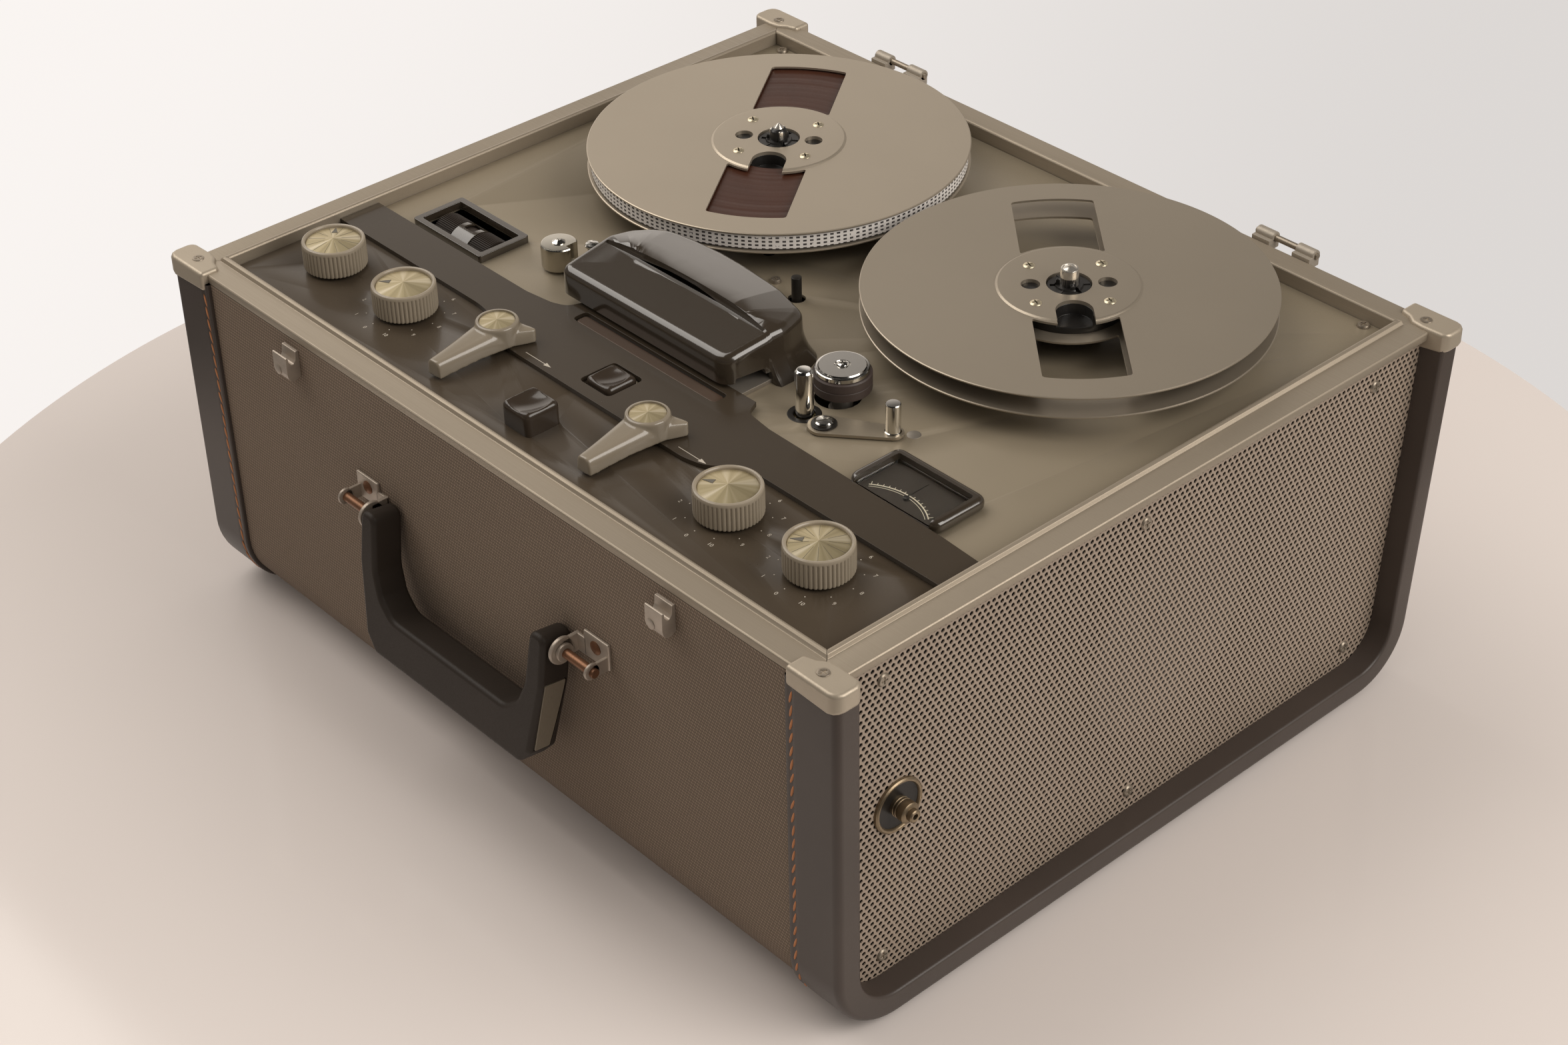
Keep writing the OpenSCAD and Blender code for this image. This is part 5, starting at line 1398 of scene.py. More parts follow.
class RECORDER_OT_reels(bpy.types.Operator):
    """Aluminium reels: windows, raised hub plates, screws, black stars and bright spindles"""

    bl_idname = "recorder.reels"
    bl_label = "Reels"

    def execute(self, context):
        for side, turn in REELS:
            low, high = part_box(side + "_reel")
            at = (low + high) / MM / 2
            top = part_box("deck_plate")[1].z / MM + 21.3
            upper = self.flange(top - 1.0, top, True)
            lower = self.flange(low.z / MM, low.z / MM + 1.0, False)
            flanges = set_down(join([upper, lower], side + "_flanges"), at.x, at.y, turn)
            fit(flanges, side, FINISH["reel_" + side], (side + "_reel",), 24)
            screws = []
            for a in (45, 135, 225, 315):
                screw = cross_screw("hub_screw", 2.7, 0.8)
                spot = Vector((22 * math.cos(math.radians(a)), 22 * math.sin(math.radians(a))))
                screws.append(set_down(screw, spot.x, spot.y, 0, top + 0.65))
            screws = set_down(join(screws, side + "_hub_screws"), at.x, at.y, turn)
            fit(screws, side, FINISH["hub_screw"], (), 40)
            star = set_down(self.star(top), at.x, at.y, turn)
            star.name = side + "_star"
            fit(star, side, FINISH["hub"], (), 30)
            spindle = self.spindle(top, side == "supply")
            set_down(spindle, at.x, at.y, turn)
            spindle.name = side + "_spindle"
            fit(spindle, side, FINISH["pin"], (), 40)
        return {"FINISHED"}

    def flange(self, low, top, plated):
        """A flange with a rolled edge, its windows, and on the upper one the plate, holes and notch."""
        profile = [(0, low), (REEL_R - 0.45, low), (REEL_R - 0.05, low + 0.25), (REEL_R, (low + top) / 2),
                   (REEL_R - 0.05, top - 0.25), (REEL_R - 0.45, top)]
        if plated:
            profile += [(PLATE_R + 0.9, top), (PLATE_R + 0.2, top + 0.55), (PLATE_R - 0.3, top + 0.7),
                        (0, top + 0.7)]
        else:
            profile += [(0, top)]
        disc = turned("flange", [(r * MM, z * MM) for r, z in profile], steps=192)
        for a in (0, 180):
            cut(disc, set_down(prism("window", window_outline(), low - 2, top + 4), 0, 0, a))
        cut(disc, rod("bore", (0, 0, (low - 2) * MM), 9.8 * MM, 8 * MM, 64))
        if plated:
            for y in (-16.4, 16.4):
                cut(disc, rod("hole", (0, y * MM, (low - 2) * MM), 4.15 * MM, 8 * MM, 40))
            u_shape = ring_arc(NOTCH_R, 90, -90, 24, (-NOTCH_AT, 0))
            throat = [(-WINDOW_IN + 0.6, -NOTCH_R), (-WINDOW_IN - 1.2, -NOTCH_R - 1.6),
                      (-WINDOW_IN - 3.4, -NOTCH_R - 1.8)]
            u_shape += throat + [(x, -y) for x, y in reversed(throat)]
            cut(disc, prism("notch", u_shape, low - 2, top + 4))
        choose(disc)
        bevel(disc, 0.16 * MM, 2, 50)
        return disc

    def star(self, top):
        """Black centre with three slots between its arms and a raised collar."""
        disc = turned("star", [(r * MM, z * MM) for r, z in (
            (0, top - 3.5), (9.55, top - 3.5), (9.55, top - 0.4), (9.2, top - 0.1), (6.2, top - 0.1),
            (5.9, top + 0.5), (0, top + 0.5))], steps=64)
        for a in (90, 210, 330):
            slot = prism("slot", [(3, -0.9), (8.2, -0.9), (8.2, 0.9), (3, 0.9)], top - 2.2, top + 3)
            cut(disc, set_down(slot, 0, 0, a))
        for a in (30, 150, 270):
            rib = box("rib", (4.5 * MM, -0.3 * MM, (top - 0.3) * MM),
                      (9.0 * MM, 0.3 * MM, (top + 0.25) * MM), 0.1 * MM)
            disc = join([disc, set_down(rib, 0, 0, a)], "star")
        return disc

    def spindle(self, top, splined):
        """Turned spindle: with three wings and a pointed top, or plain with a grooved top."""
        if splined:
            profile = [(0, top - 2), (2.7, top - 2), (2.7, top + 5.6), (2.2, top + 6.3), (0.5, top + 8.0),
                       (0, top + 8.1)]
            body = turned("spindle", [(r * MM, z * MM) for r, z in profile], steps=40)
            wings = []
            for a in (90, 210, 330):
                wing = box("wing", (1.5 * MM, -1.05 * MM, (top - 2) * MM),
                           (4.1 * MM, 1.05 * MM, (top + 5.3) * MM), 0.5 * MM, 3)
                wings.append(set_down(wing, 0, 0, a))
            return join([body, *wings], "spindle")
        profile = [(0, top - 2), (4.0, top - 2), (4.0, top + 7.6), (3.7, top + 8.1), (3.1, top + 8.25),
                   (3.0, top + 8.0),
                   (1.7, top + 8.75), (0.7, top + 8.95), (0.65, top + 8.3), (0, top + 8.3)]
        return turned("spindle", [(r * MM, z * MM) for r, z in profile], steps=64)


class RECORDER_OT_tape(bpy.types.Operator):
    """Wound tape with its turns showing, and the pale leader as one open turn round it"""

    bl_idname = "recorder.tape"
    bl_label = "Tape"

    def execute(self, context):
        sizes = context.scene.recorder_sizes
        low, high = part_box("tape_pack")
        reel = middle("supply_reel")
        outer = sizes.pack_radius / MM
        base, top = low.z / MM, high.z / MM
        chance = random.Random(11)
        bands = 58
        profile = [(HUB_R + 0.1, base), (outer, base), (outer, top)]
        for i in range(bands + 1):
            r = outer - 0.2 - (outer - HUB_R - 0.5) * i / bands
            profile.append((r, top - chance.choice((0, 0, 0.01, 0.02, 0.04, 0.09))))
        profile += [(HUB_R + 0.1, top), (HUB_R + 0.1, base)]
        pack = turned("tape_winding", [(r * MM, z * MM) for r, z in profile], (reel.x, reel.y, 0), 160)
        fit(pack, "supply", FINISH["tape"], ("tape_pack",), 20)
        leader = self.leader(reel, outer, base, top)
        fit(leader, "supply", FINISH["leader"], ("tape_pack",), 20)
        return {"FINISHED"}

    def leader(self, reel, outer, base, top):
        """A strip whose radius climbs as it goes round, so it never meets itself."""
        thick, climb, sweep, steps = 0.35, 0.9, 400, 144

        def edge(r, i):
            a = math.radians(sweep * i / steps)
            return ((r + climb * i / steps) * math.cos(a), (r + climb * i / steps) * math.sin(a))

        points = [edge(outer + 0.1 + thick, i) for i in range(steps + 1)]
        points += [edge(outer + 0.1, i) for i in range(steps, -1, -1)]
        strip = prism("tape_leader", points, base, top)
        set_down(strip, reel.x / MM, reel.y / MM)
        polar_uv(strip, (reel.x, reel.y))
        layer = strip.data.uv_layers["polar"]
        for loop in strip.data.loops:
            u = layer.data[loop.index].uv
            layer.data[loop.index].uv = (u[0] * 2 * math.pi * outer / 1000,
                                         strip.data.vertices[loop.vertex_index].co.z)
        return strip


# Carry handle


TO_RIGHT = (Vector((0, 1, 0)), Vector((0, 0, 1)), Vector((1, 0, 0)))
TO_LEFT = (Vector((0, -1, 0)), Vector((0, 0, 1)), Vector((-1, 0, 0)))
TO_FRONT = (Vector((1, 0, 0)), Vector((0, 0, 1)), Vector((0, -1, 0)))


def stand(obj, columns, place):
    """Turns a flat-drawn piece so that its X, Y and Z run along the given directions, then moves it."""
    obj.matrix_world = Matrix.Translation(place) @ Matrix(columns).transposed().to_4x4()
    settle(obj)
    return obj


class RECORDER_OT_handle(bpy.types.Operator):
    """Moulded handle with cut corners, and a tapering bright inlay on each end"""

    bl_idname = "recorder.handle"
    bl_label = "Carry handle"

    def execute(self, context):
        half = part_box("handle_grip")[1].x / MM
        tilt = math.radians(8)
        pivot = Vector((0, FRONT_Y - 9 * MM, 114 * MM))
        down = Vector((0, math.sin(tilt), math.cos(tilt)))
        out = Vector((0, -math.cos(tilt), math.sin(tilt)))
        across = Vector((1, 0, 0))
        slant = math.atan2(5.5, 34)
        outer = [(-half, 6.2), (-half, -18), (-half + 5.5, -52), (-half + 12, -59.5), (half - 12, -59.5),
                 (half - 5.5, -52),
                 (half, -18), (half, 6.2)]
        inner = [(half - 9.4, 6.2), (half - 11, -20), (half - 15.5, -31), (half - 23.5, -37.5),
                 (-half + 23.5, -37.5),
                 (-half + 15.5, -31), (-half + 11, -20), (-half + 9.4, 6.2)]
        soft = [4.7, 12, 5, 4, 4, 5, 12, 4.7, 4.7, 14, 8, 10, 10, 8, 14, 4.7]
        grip_piece = prism("handle_moulding", bent(outer + inner, soft, 6), -7.8, 7.4)
        bevel(grip_piece, 2.3 * MM, 5, 50)
        stand(grip_piece, (across, down, -out), pivot)
        inlays = []
        for side in (-1, 1):
            bore = rod("bore", (min(side * (half - 7), side * (half + 3)) * MM, pivot.y, pivot.z),
                       2.45 * MM, 10 * MM, 32, "X")
            cut(grip_piece, bore)
            lean = Matrix.Rotation(slant, 3, "Y") if side > 0 else Matrix.Rotation(-slant, 3, "Y")
            face = across * side
            lie = (out * -side, lean @ down, lean @ face)
            spot = pivot + Vector((side * (half - 2.6) * MM, 0, 0)) + down * -34 * MM
            cut(grip_piece, stand(self.blade("groove", 0.4, -1.3, 4), lie, spot))
            inlays.append(stand(self.blade("inlay", 0, -1.25, 0.2), lie, spot))
        fit(grip_piece, "handle", FINISH["handle"], ("handle_grip",), 50)
        inlays = join(inlays, "handle_end_inlays")
        bevel(inlays, 0.3 * MM, 2)
        fit(inlays, "handle", FINISH["inlay"], ("handle_inlays",), 40)
        self.brackets(pivot)
        self.latches()
        return {"FINISHED"}

    def brackets(self, pivot):
        """Stamped plates with two round ears that carry the copper pin of the handle."""
        plates, pins = [], []
        y = FRONT_Y
        for side in (-1, 1):
            low, high = sorted((side * 69.5 * MM, side * 85 * MM))
            plate = box("bracket_plate", (low, y - 1.5 * MM, 110.5 * MM), (high, y + 0.2 * MM, 123.2 * MM),
                        0.6 * MM, 3)
            plates.append(plate)
            for inner, thick, radius in ((63.6, 2.0, 6.3), (82.6, 1.6, 3.8)):
                start = min(side * inner, side * (inner + thick)) * MM
                ear = rod("ear", (start, pivot.y, pivot.z), radius * MM, thick * MM, 48, "X", 0.6 * MM)
                reach = box("reach", (start, pivot.y, pivot.z - 3.6 * MM),
                            (start + thick * MM, y + 0.1 * MM, pivot.z + radius * MM * 0.8), 0.4 * MM)
                plates += [ear, reach]
            low, high = sorted((side * 63.6 * MM, side * 71 * MM))
            plates.append(box("tab", (low, y - 1.5 * MM, pivot.z - 3.6 * MM),
                              (high, y + 0.1 * MM, pivot.z + 5 * MM), 0.5 * MM))
            start = min(side * 65.6, side * 67.4) * MM
            plates.append(rod("washer", (start, pivot.y, pivot.z), 4.1 * MM, 1.8 * MM, 40, "X", 0.4 * MM))
            start = min(side * 56, side * 86) * MM
            pins.append(rod("pin", (start, pivot.y, pivot.z), 2.1 * MM, 30 * MM, 32, "X", 0.5 * MM))
            rivet = turned("rivet", [(0, -0.5 * MM), (3.1 * MM, -0.5 * MM), (3.1 * MM, 0.3 * MM),
                                     (2.4 * MM, 0.7 * MM), (0, 0.85 * MM)], steps=32)
            stand(rivet, TO_FRONT, Vector((side * 77 * MM, y - 1.5 * MM, 118 * MM)))
            pins.append(rivet)
        fit(join(plates, "handle_bracket_plates"), "case", FINISH["bracket"],
            ("handle_brackets",), 40)
        fit(join(pins, "handle_pins"), "case", FINISH["copper"], (), 40)

    def latches(self):
        """Cast catches: a strip turned up into a trough, with one rivet."""
        made = []
        low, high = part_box("latch_catches")
        for x in (low.x / MM + 8.0, high.x / MM - 11.4):
            profile = [(0, -5.5), (3.6, -7.2), (6.2, -5.4), (6.8, -2.5), (6.7, 5.4), (5.7, 5.6), (5.3, 3.0),
                       (4.2, 1.5), (2.9, 1.5),
                       (1.9, 3.0), (1.6, 7.0), (0, 7.2)]
            strip = prism("catch", bent(profile, [0, 3, 3, 1, 0.4, 0.4, 1.5, 1, 1, 1.5, 0.4, 0.2], 4), 0,
                          10.2)
            bevel(strip, 0.55 * MM, 3, 40)
            stand(strip, TO_LEFT, Vector(((x + 10.2) * MM, FRONT_Y, 158.8 * MM)))
            boss = turned("boss", [(0, -0.6 * MM), (2.3 * MM, -0.6 * MM), (2.3 * MM, 0.25 * MM),
                                   (1.8 * MM, 0.5 * MM), (0, 0.45 * MM)], steps=28)
            stand(boss, TO_FRONT, Vector(((x + 3.4) * MM, FRONT_Y - 6.75 * MM, 156.4 * MM)))
            made += [strip, boss]
        fit(join(made, "latch_catch_strips"), "case", FINISH["bracket"], ("latch_catches",),
            45)

    def blade(self, name, grow, low, high):
        """A blade-shaped plate: round and wide at the top, its sides curving in to a narrow foot."""
        top, foot = 17.5, -17.5
        steps = 10
        front, back = [], []
        for i in range(steps + 1):
            t = i / steps
            v = top + grow + (foot - top - 2 * grow) * t
            front.append((-5.4 + 0.5 * t - grow, v))
            back.append((5.3 - 2.4 * t ** 1.5 + grow, v))
        outline = front + back[::-1]
        soft = [1.0] + [0] * (steps - 1) + [1.0, 1.0] + [0] * (steps - 1) + [1.0]
        return prism(name, bent(outline, soft, 4), low, high)


# Strip, printed marks and the meter


class RECORDER_OT_strip(bpy.types.Operator):
    """Glossy raised strip with its swelling front edge and rounded back notches"""

    bl_idname = "recorder.strip"
    bl_label = "Raised strip"

    def execute(self, context):
        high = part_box("trim_strip")[1]
        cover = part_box("head_cover")[0]
        half, top = high.x / MM, high.z / MM
        front, back, swell = FRONT_Y / MM + 73.5, FRONT_Y / MM + 95, FRONT_Y / MM + 60
        cy, cl, cr = cover.y / MM, -72.0, 38.0
        wind, play = -60.0, 39.0
        outline = [
            (-half, front), (wind - 22, front), (wind + 1, swell + 0.6), (wind + 14, swell),
            (play + 22, swell),
            (play + 34, swell + 2.6), (play + 42, front), (half, front), (half, back - 0.3),
            (cr + 134, back + 1.2),
            (cr + 76, back + 2.6), (cr + 32, back + 3.4), (cr + 17, back + 5.5), (cr + 13.5, cy + 4),
            (cl + 13, cy + 4),
            (cl + 10, back + 5), (cl + 3, back + 2), (cl - 12, back), (-half, back),
        ]
        soft = [0, 45, 45, 30, 30, 26, 18, 0, 0, 60, 60, 24, 7, 0, 0, 8, 16, 20, 0]
        strip = prism("strip_moulding", bent(outline, soft, 8), PANEL_TOP / MM + 0.02, top)
        cut(strip, prism("gate_slot", self.slot(cy, 3.9), top - 9, top + 5))
        record = middle("record_button")
        well = rounded(record.x / MM, record.y / MM, 9.6, 9.6, 2.6)
        cut(strip, prism("well", well, top - 9, top + 5))
        for node in ("fast_wind_lever", "play_lever"):
            x, y = lever_hub(node)
            cut(strip, rod("shaft_hole", (x, y, (top - 9) * MM), 4.3 * MM, 20 * MM, 32))
        bevel(strip, 0.9 * MM, 4, 45)
        fit(strip, "case", FINISH["strip"], ("trim_strip",), 50)
        gate = prism("gate_blade", self.slot(cy, 3.3), DECK_TOP / MM + 0.1, top - 1.1)
        bevel(gate, 0.8 * MM, 3, 45)
        fit(gate, "case", FINISH["bronze"], ("head_gate",), 50)
        lining = prism("gate_lining", self.slot(cy, 3.95), DECK_TOP / MM + 0.05, top - 1.6)
        cut(lining, prism("inside", self.slot(cy, 3.35), DECK_TOP / MM - 2, top + 3))
        fit(lining, "case", FINISH["black"], (), 40)
        return {"FINISHED"}

    def slot(self, cy, half):
        """Outline of the shutter's slot in front of the head cover, half wide front to back."""
        left, right = -52.4, 39.8
        return rounded((left + right) / 2, cy - 5, (right - left) / 2 - 3.8 + half, half,
                       min(2.4, half * 0.8))


class RECORDER_OT_marks(bpy.types.Operator):
    """Printed numbers and dots round the knobs, and an arrow behind each lever"""

    bl_idname = "recorder.marks"
    bl_label = "Printed marks"

    def execute(self, context):
        marks = []
        for node in ("volume_knob", "radio_knob", "microphone_knob"):
            at = middle(node)
            for value in range(11):
                a = math.radians(-92 - 32.9 * value)
                spot = Vector((at.x + 21.4 * MM * math.cos(a), at.y + 21.4 * MM * math.sin(a),
                               PANEL_TOP + 0.03 * MM))
                inner = Vector((at.x + 17.2 * MM * math.cos(a), at.y + 17.2 * MM * math.sin(a),
                                PANEL_TOP + 0.03 * MM))
                if FRONT_Y + 17 * MM < spot.y < FRONT_Y + 70 * MM:
                    marks.append(self.figure(str(value), spot, 2.7 * MM))
                    marks.append(rod("dot", inner, 0.28 * MM, 0.05 * MM, 12))
        print_ = join(marks, "panel_print")
        fit(print_, "case", FINISH["print"], (), 30)
        arrows = []
        for node in ("fast_wind_lever", "play_lever"):
            start = Vector((lever_hub(node).x + 15.5 * MM, FRONT_Y + 63.5 * MM, STRIP_TOP + 0.02 * MM))
            arrows.append(self.arrow(start, 17.0))
        arrows = join(arrows, "strip_arrows")
        fit(arrows, "case", FINISH["print"], (), 30)
        return {"FINISHED"}

    def figure(self, text, spot, size):
        """A plain number lying flat, as a thin film of paint."""
        bpy.ops.object.text_add(location=(0, 0, 0))
        obj = bpy.context.object
        obj.data.body = text
        obj.data.size = size
        obj.data.align_x = "CENTER"
        obj.data.align_y = "CENTER"
        obj.data.extrude = 0.02 * MM
        obj.data.resolution_u = 3
        bpy.ops.object.convert(target="MESH")
        obj = rename("figure_" + text)
        obj.location = spot
        settle(obj)
        close_up(obj, 1e-7)
        return obj

    def arrow(self, start, length):
        """A fine line along X with a slim head."""
        line = [(0, -0.16), (length - 4, -0.16), (length - 4, -1.1), (length, 0), (length - 4, 1.1),
                (length - 4, 0.16), (0, 0.16)]
        piece = prism("arrow", line, 0, 0.04)
        return set_down(piece, start.x / MM, start.y / MM, 0, start.z / MM)


class RECORDER_OT_meter(bpy.types.Operator):
    """Level meter: rounded frame, dial with a double arc and ticks, needle and window"""

    bl_idname = "recorder.meter"
    bl_label = "Level meter"

    def execute(self, context):
        low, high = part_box("meter_bezel")
        at = (low + high) / 2 / MM
        half_x, half_y = (high.x - low.x) / 2 / MM, (high.y - low.y) / 2 / MM
        base, top = low.z / MM, high.z / MM
        frame_piece = prism("meter_frame", rounded(at.x, at.y, half_x, half_y, 5.0), base + 0.05, top)
        bevel(frame_piece, 2.4 * MM, 5, 50)
        near, far = low.y / MM + 0.6, high.y / MM - 4.0
        cut(frame_piece, prism("inside",
                               rounded(at.x, (near + far) / 2 - 4, half_x - 4.0, (far - near) / 2 + 4, 1.6),
                               base - 2, top + 4))
        bevel(frame_piece, 0.45 * MM, 3, 50)
        fit(frame_piece, "case", FINISH["cover"], ("meter_bezel",), 50)
        dial_y, dial_half = (near + far) / 2, (far - near) / 2 - 0.2
        can = prism("meter_can", rounded(at.x, dial_y, half_x - 4.2, dial_half, 1.5), base - 26, top - 4.4)
        cut(can, rod("pivot_hole", ((at.x) * MM, (at.y - half_y + 8.6) * MM, (base - 6) * MM), 1.2 * MM,
                     20 * MM, 24))
        fit(can, "case", FINISH["dark_card"], ("meter_movement",), 40)
        level = top - 4.4
        marks = []
        centre = (at.x - 1, at.y - 30.5)
        for r, w in ((27.2, 0.5), (25.7, 0.22)):
            outline = ring_arc(r, 128, 52, 40, centre) + ring_arc(r - w, 52, 128, 40, centre)
            marks.append(prism("arc", outline, level + 0.01, level + 0.06))
        for i in range(15):
            a = 126 - 72 * i / 14
            long = 1.9 if i % 7 == 0 else 1.1
            p = [(27.1, -0.12), (27.1 + long, -0.12), (27.1 + long, 0.12), (27.1, 0.12)]
            tick = prism("tick", p, level + 0.01, level + 0.06)
            marks.append(set_down(tick, centre[0], centre[1], a))
        marks = join(marks, "meter_scale")
        fit(marks, "case", FINISH["card"], (), 30)
        needle_at = Vector((at.x, at.y - half_y + 8.5))
        hub = turned("needle", [(0, 0), (1.3 * MM, 0), (1.3 * MM, 0.3 * MM), (1.0 * MM, 0.5 * MM),
                                (0, 0.5 * MM)], steps=32)
        shaft = rod("shaft", (0, 0, -7 * MM), 0.7 * MM, 7.2 * MM, 24)
        blade = prism("blade", [(-0.28, 0), (0.28, 0), (0.1, 12.4), (-0.1, 12.4)], 0.3, 0.6)
        needle = set_down(join([hub, shaft, blade], "meter_pointer"), needle_at.x, needle_at.y, 0,
                          level + 0.75)
        fit(needle, "needle", FINISH["black"], ("meter_needle",), 40)
        pane = prism("meter_pane", rounded(at.x, dial_y, half_x - 4.15, dial_half, 1.5), top - 3.2,
                     top - 2.6)
        fit(pane, "case", FINISH["glass"], ("meter_glass",), 30)
        return {"FINISHED"}


# Counter, tape path and small metal parts


class RECORDER_OT_counter(bpy.types.Operator):
    """Counter window with its frame, curved mask and two knurled wheels"""

    bl_idname = "recorder.counter"
    bl_label = "Counter"

    def execute(self, context):
        low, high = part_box("window_bezel")
        at = (low + high) / 2 / MM
        half_x, half_y = (high.x - low.x) / 2 / MM, (high.y - low.y) / 2 / MM
        top, floor = high.z / MM, low.z / MM
        wheels_low, wheels_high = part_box("counter_wheels")
        axis = (wheels_low.z + wheels_high.z) / 2 / MM
        radius = (wheels_high.z - wheels_low.z) / 2 / MM
        well = prism("counter_frame", rounded(at.x, at.y, half_x, half_y, 1.6), DECK_TOP / MM + 0.05, top)
        sleeve = prism("sleeve", rounded(at.x, at.y, half_x - 2, half_y - 2, 1.5), floor, DECK_TOP / MM + 1)
        well = join([well, sleeve], "counter_frame")
        cut(well, prism("inside", rounded(at.x, at.y, half_x - 3.2, half_y - 3.2, 1.1), floor + 1.5,
                        top + 4))
        bevel(well, 0.7 * MM, 3, 50)
        fit(well, "case", FINISH["cover"], ("window_bezel",), 50)
        ribs = 64
        points = []
        for i in range(ribs * 4):
            a = 2 * math.pi * i / (ribs * 4)
            r = radius - (0.55 if i % 4 in (0, 1) else 0.0)
            points.append((r * math.cos(a), r * math.sin(a)))
        wheels = []
        for start in (-18.5, 6.6):
            wheel = prism("wheel", points, 0, 11.9)
            stand(wheel, TO_RIGHT, Vector((at.x + start, at.y, axis)) * MM)
            wheels.append(wheel)
        wheels.append(rod("axle", ((at.x - 22.3) * MM, at.y * MM, axis * MM), 2 * MM, 44.6 * MM, 24, "X"))
        wheels.append(rod("drum", ((at.x - 5.6) * MM, at.y * MM, axis * MM), (radius - 1.4) * MM, 11.2 * MM,
                          48, "X"))
        drums = join(wheels, "knurled_wheels")
        fit(drums, "counter", FINISH["wheel"], ("counter_wheels",), 25)
        mask = self.mask(at, axis, radius)
        fit(mask, "case", FINISH["cover"], (), 40)
        return {"FINISHED"}

    def mask(self, at, axis, radius):
        """Curved cover between the wheels with a stepped opening over the number drum."""
        outer, inner = radius + 0.05, radius - 0.95
        outline = ring_arc(outer, 155, 25, 24) + ring_arc(inner, 25, 155, 24)
        shell = prism("counter_mask", outline, 0, 12.4)
        stand(shell, TO_RIGHT, Vector((at.x - 6.2, at.y, axis)) * MM)
        cut(shell, box("opening", ((at.x - 3.4) * MM, (at.y - 1.5) * MM, (axis + 4) * MM),
                       ((at.x + 3.4) * MM, (at.y + 5.2) * MM, 0.2)))
        bevel(shell, 0.2 * MM, 2, 50)
        return shell


def lathe_mm(name, profile, x, y, steps=64):
    """A turned piece on a vertical axis; the profile is in mm."""
    return turned(name, [(r * MM, z * MM) for r, z in profile], (x * MM, y * MM, 0), steps)


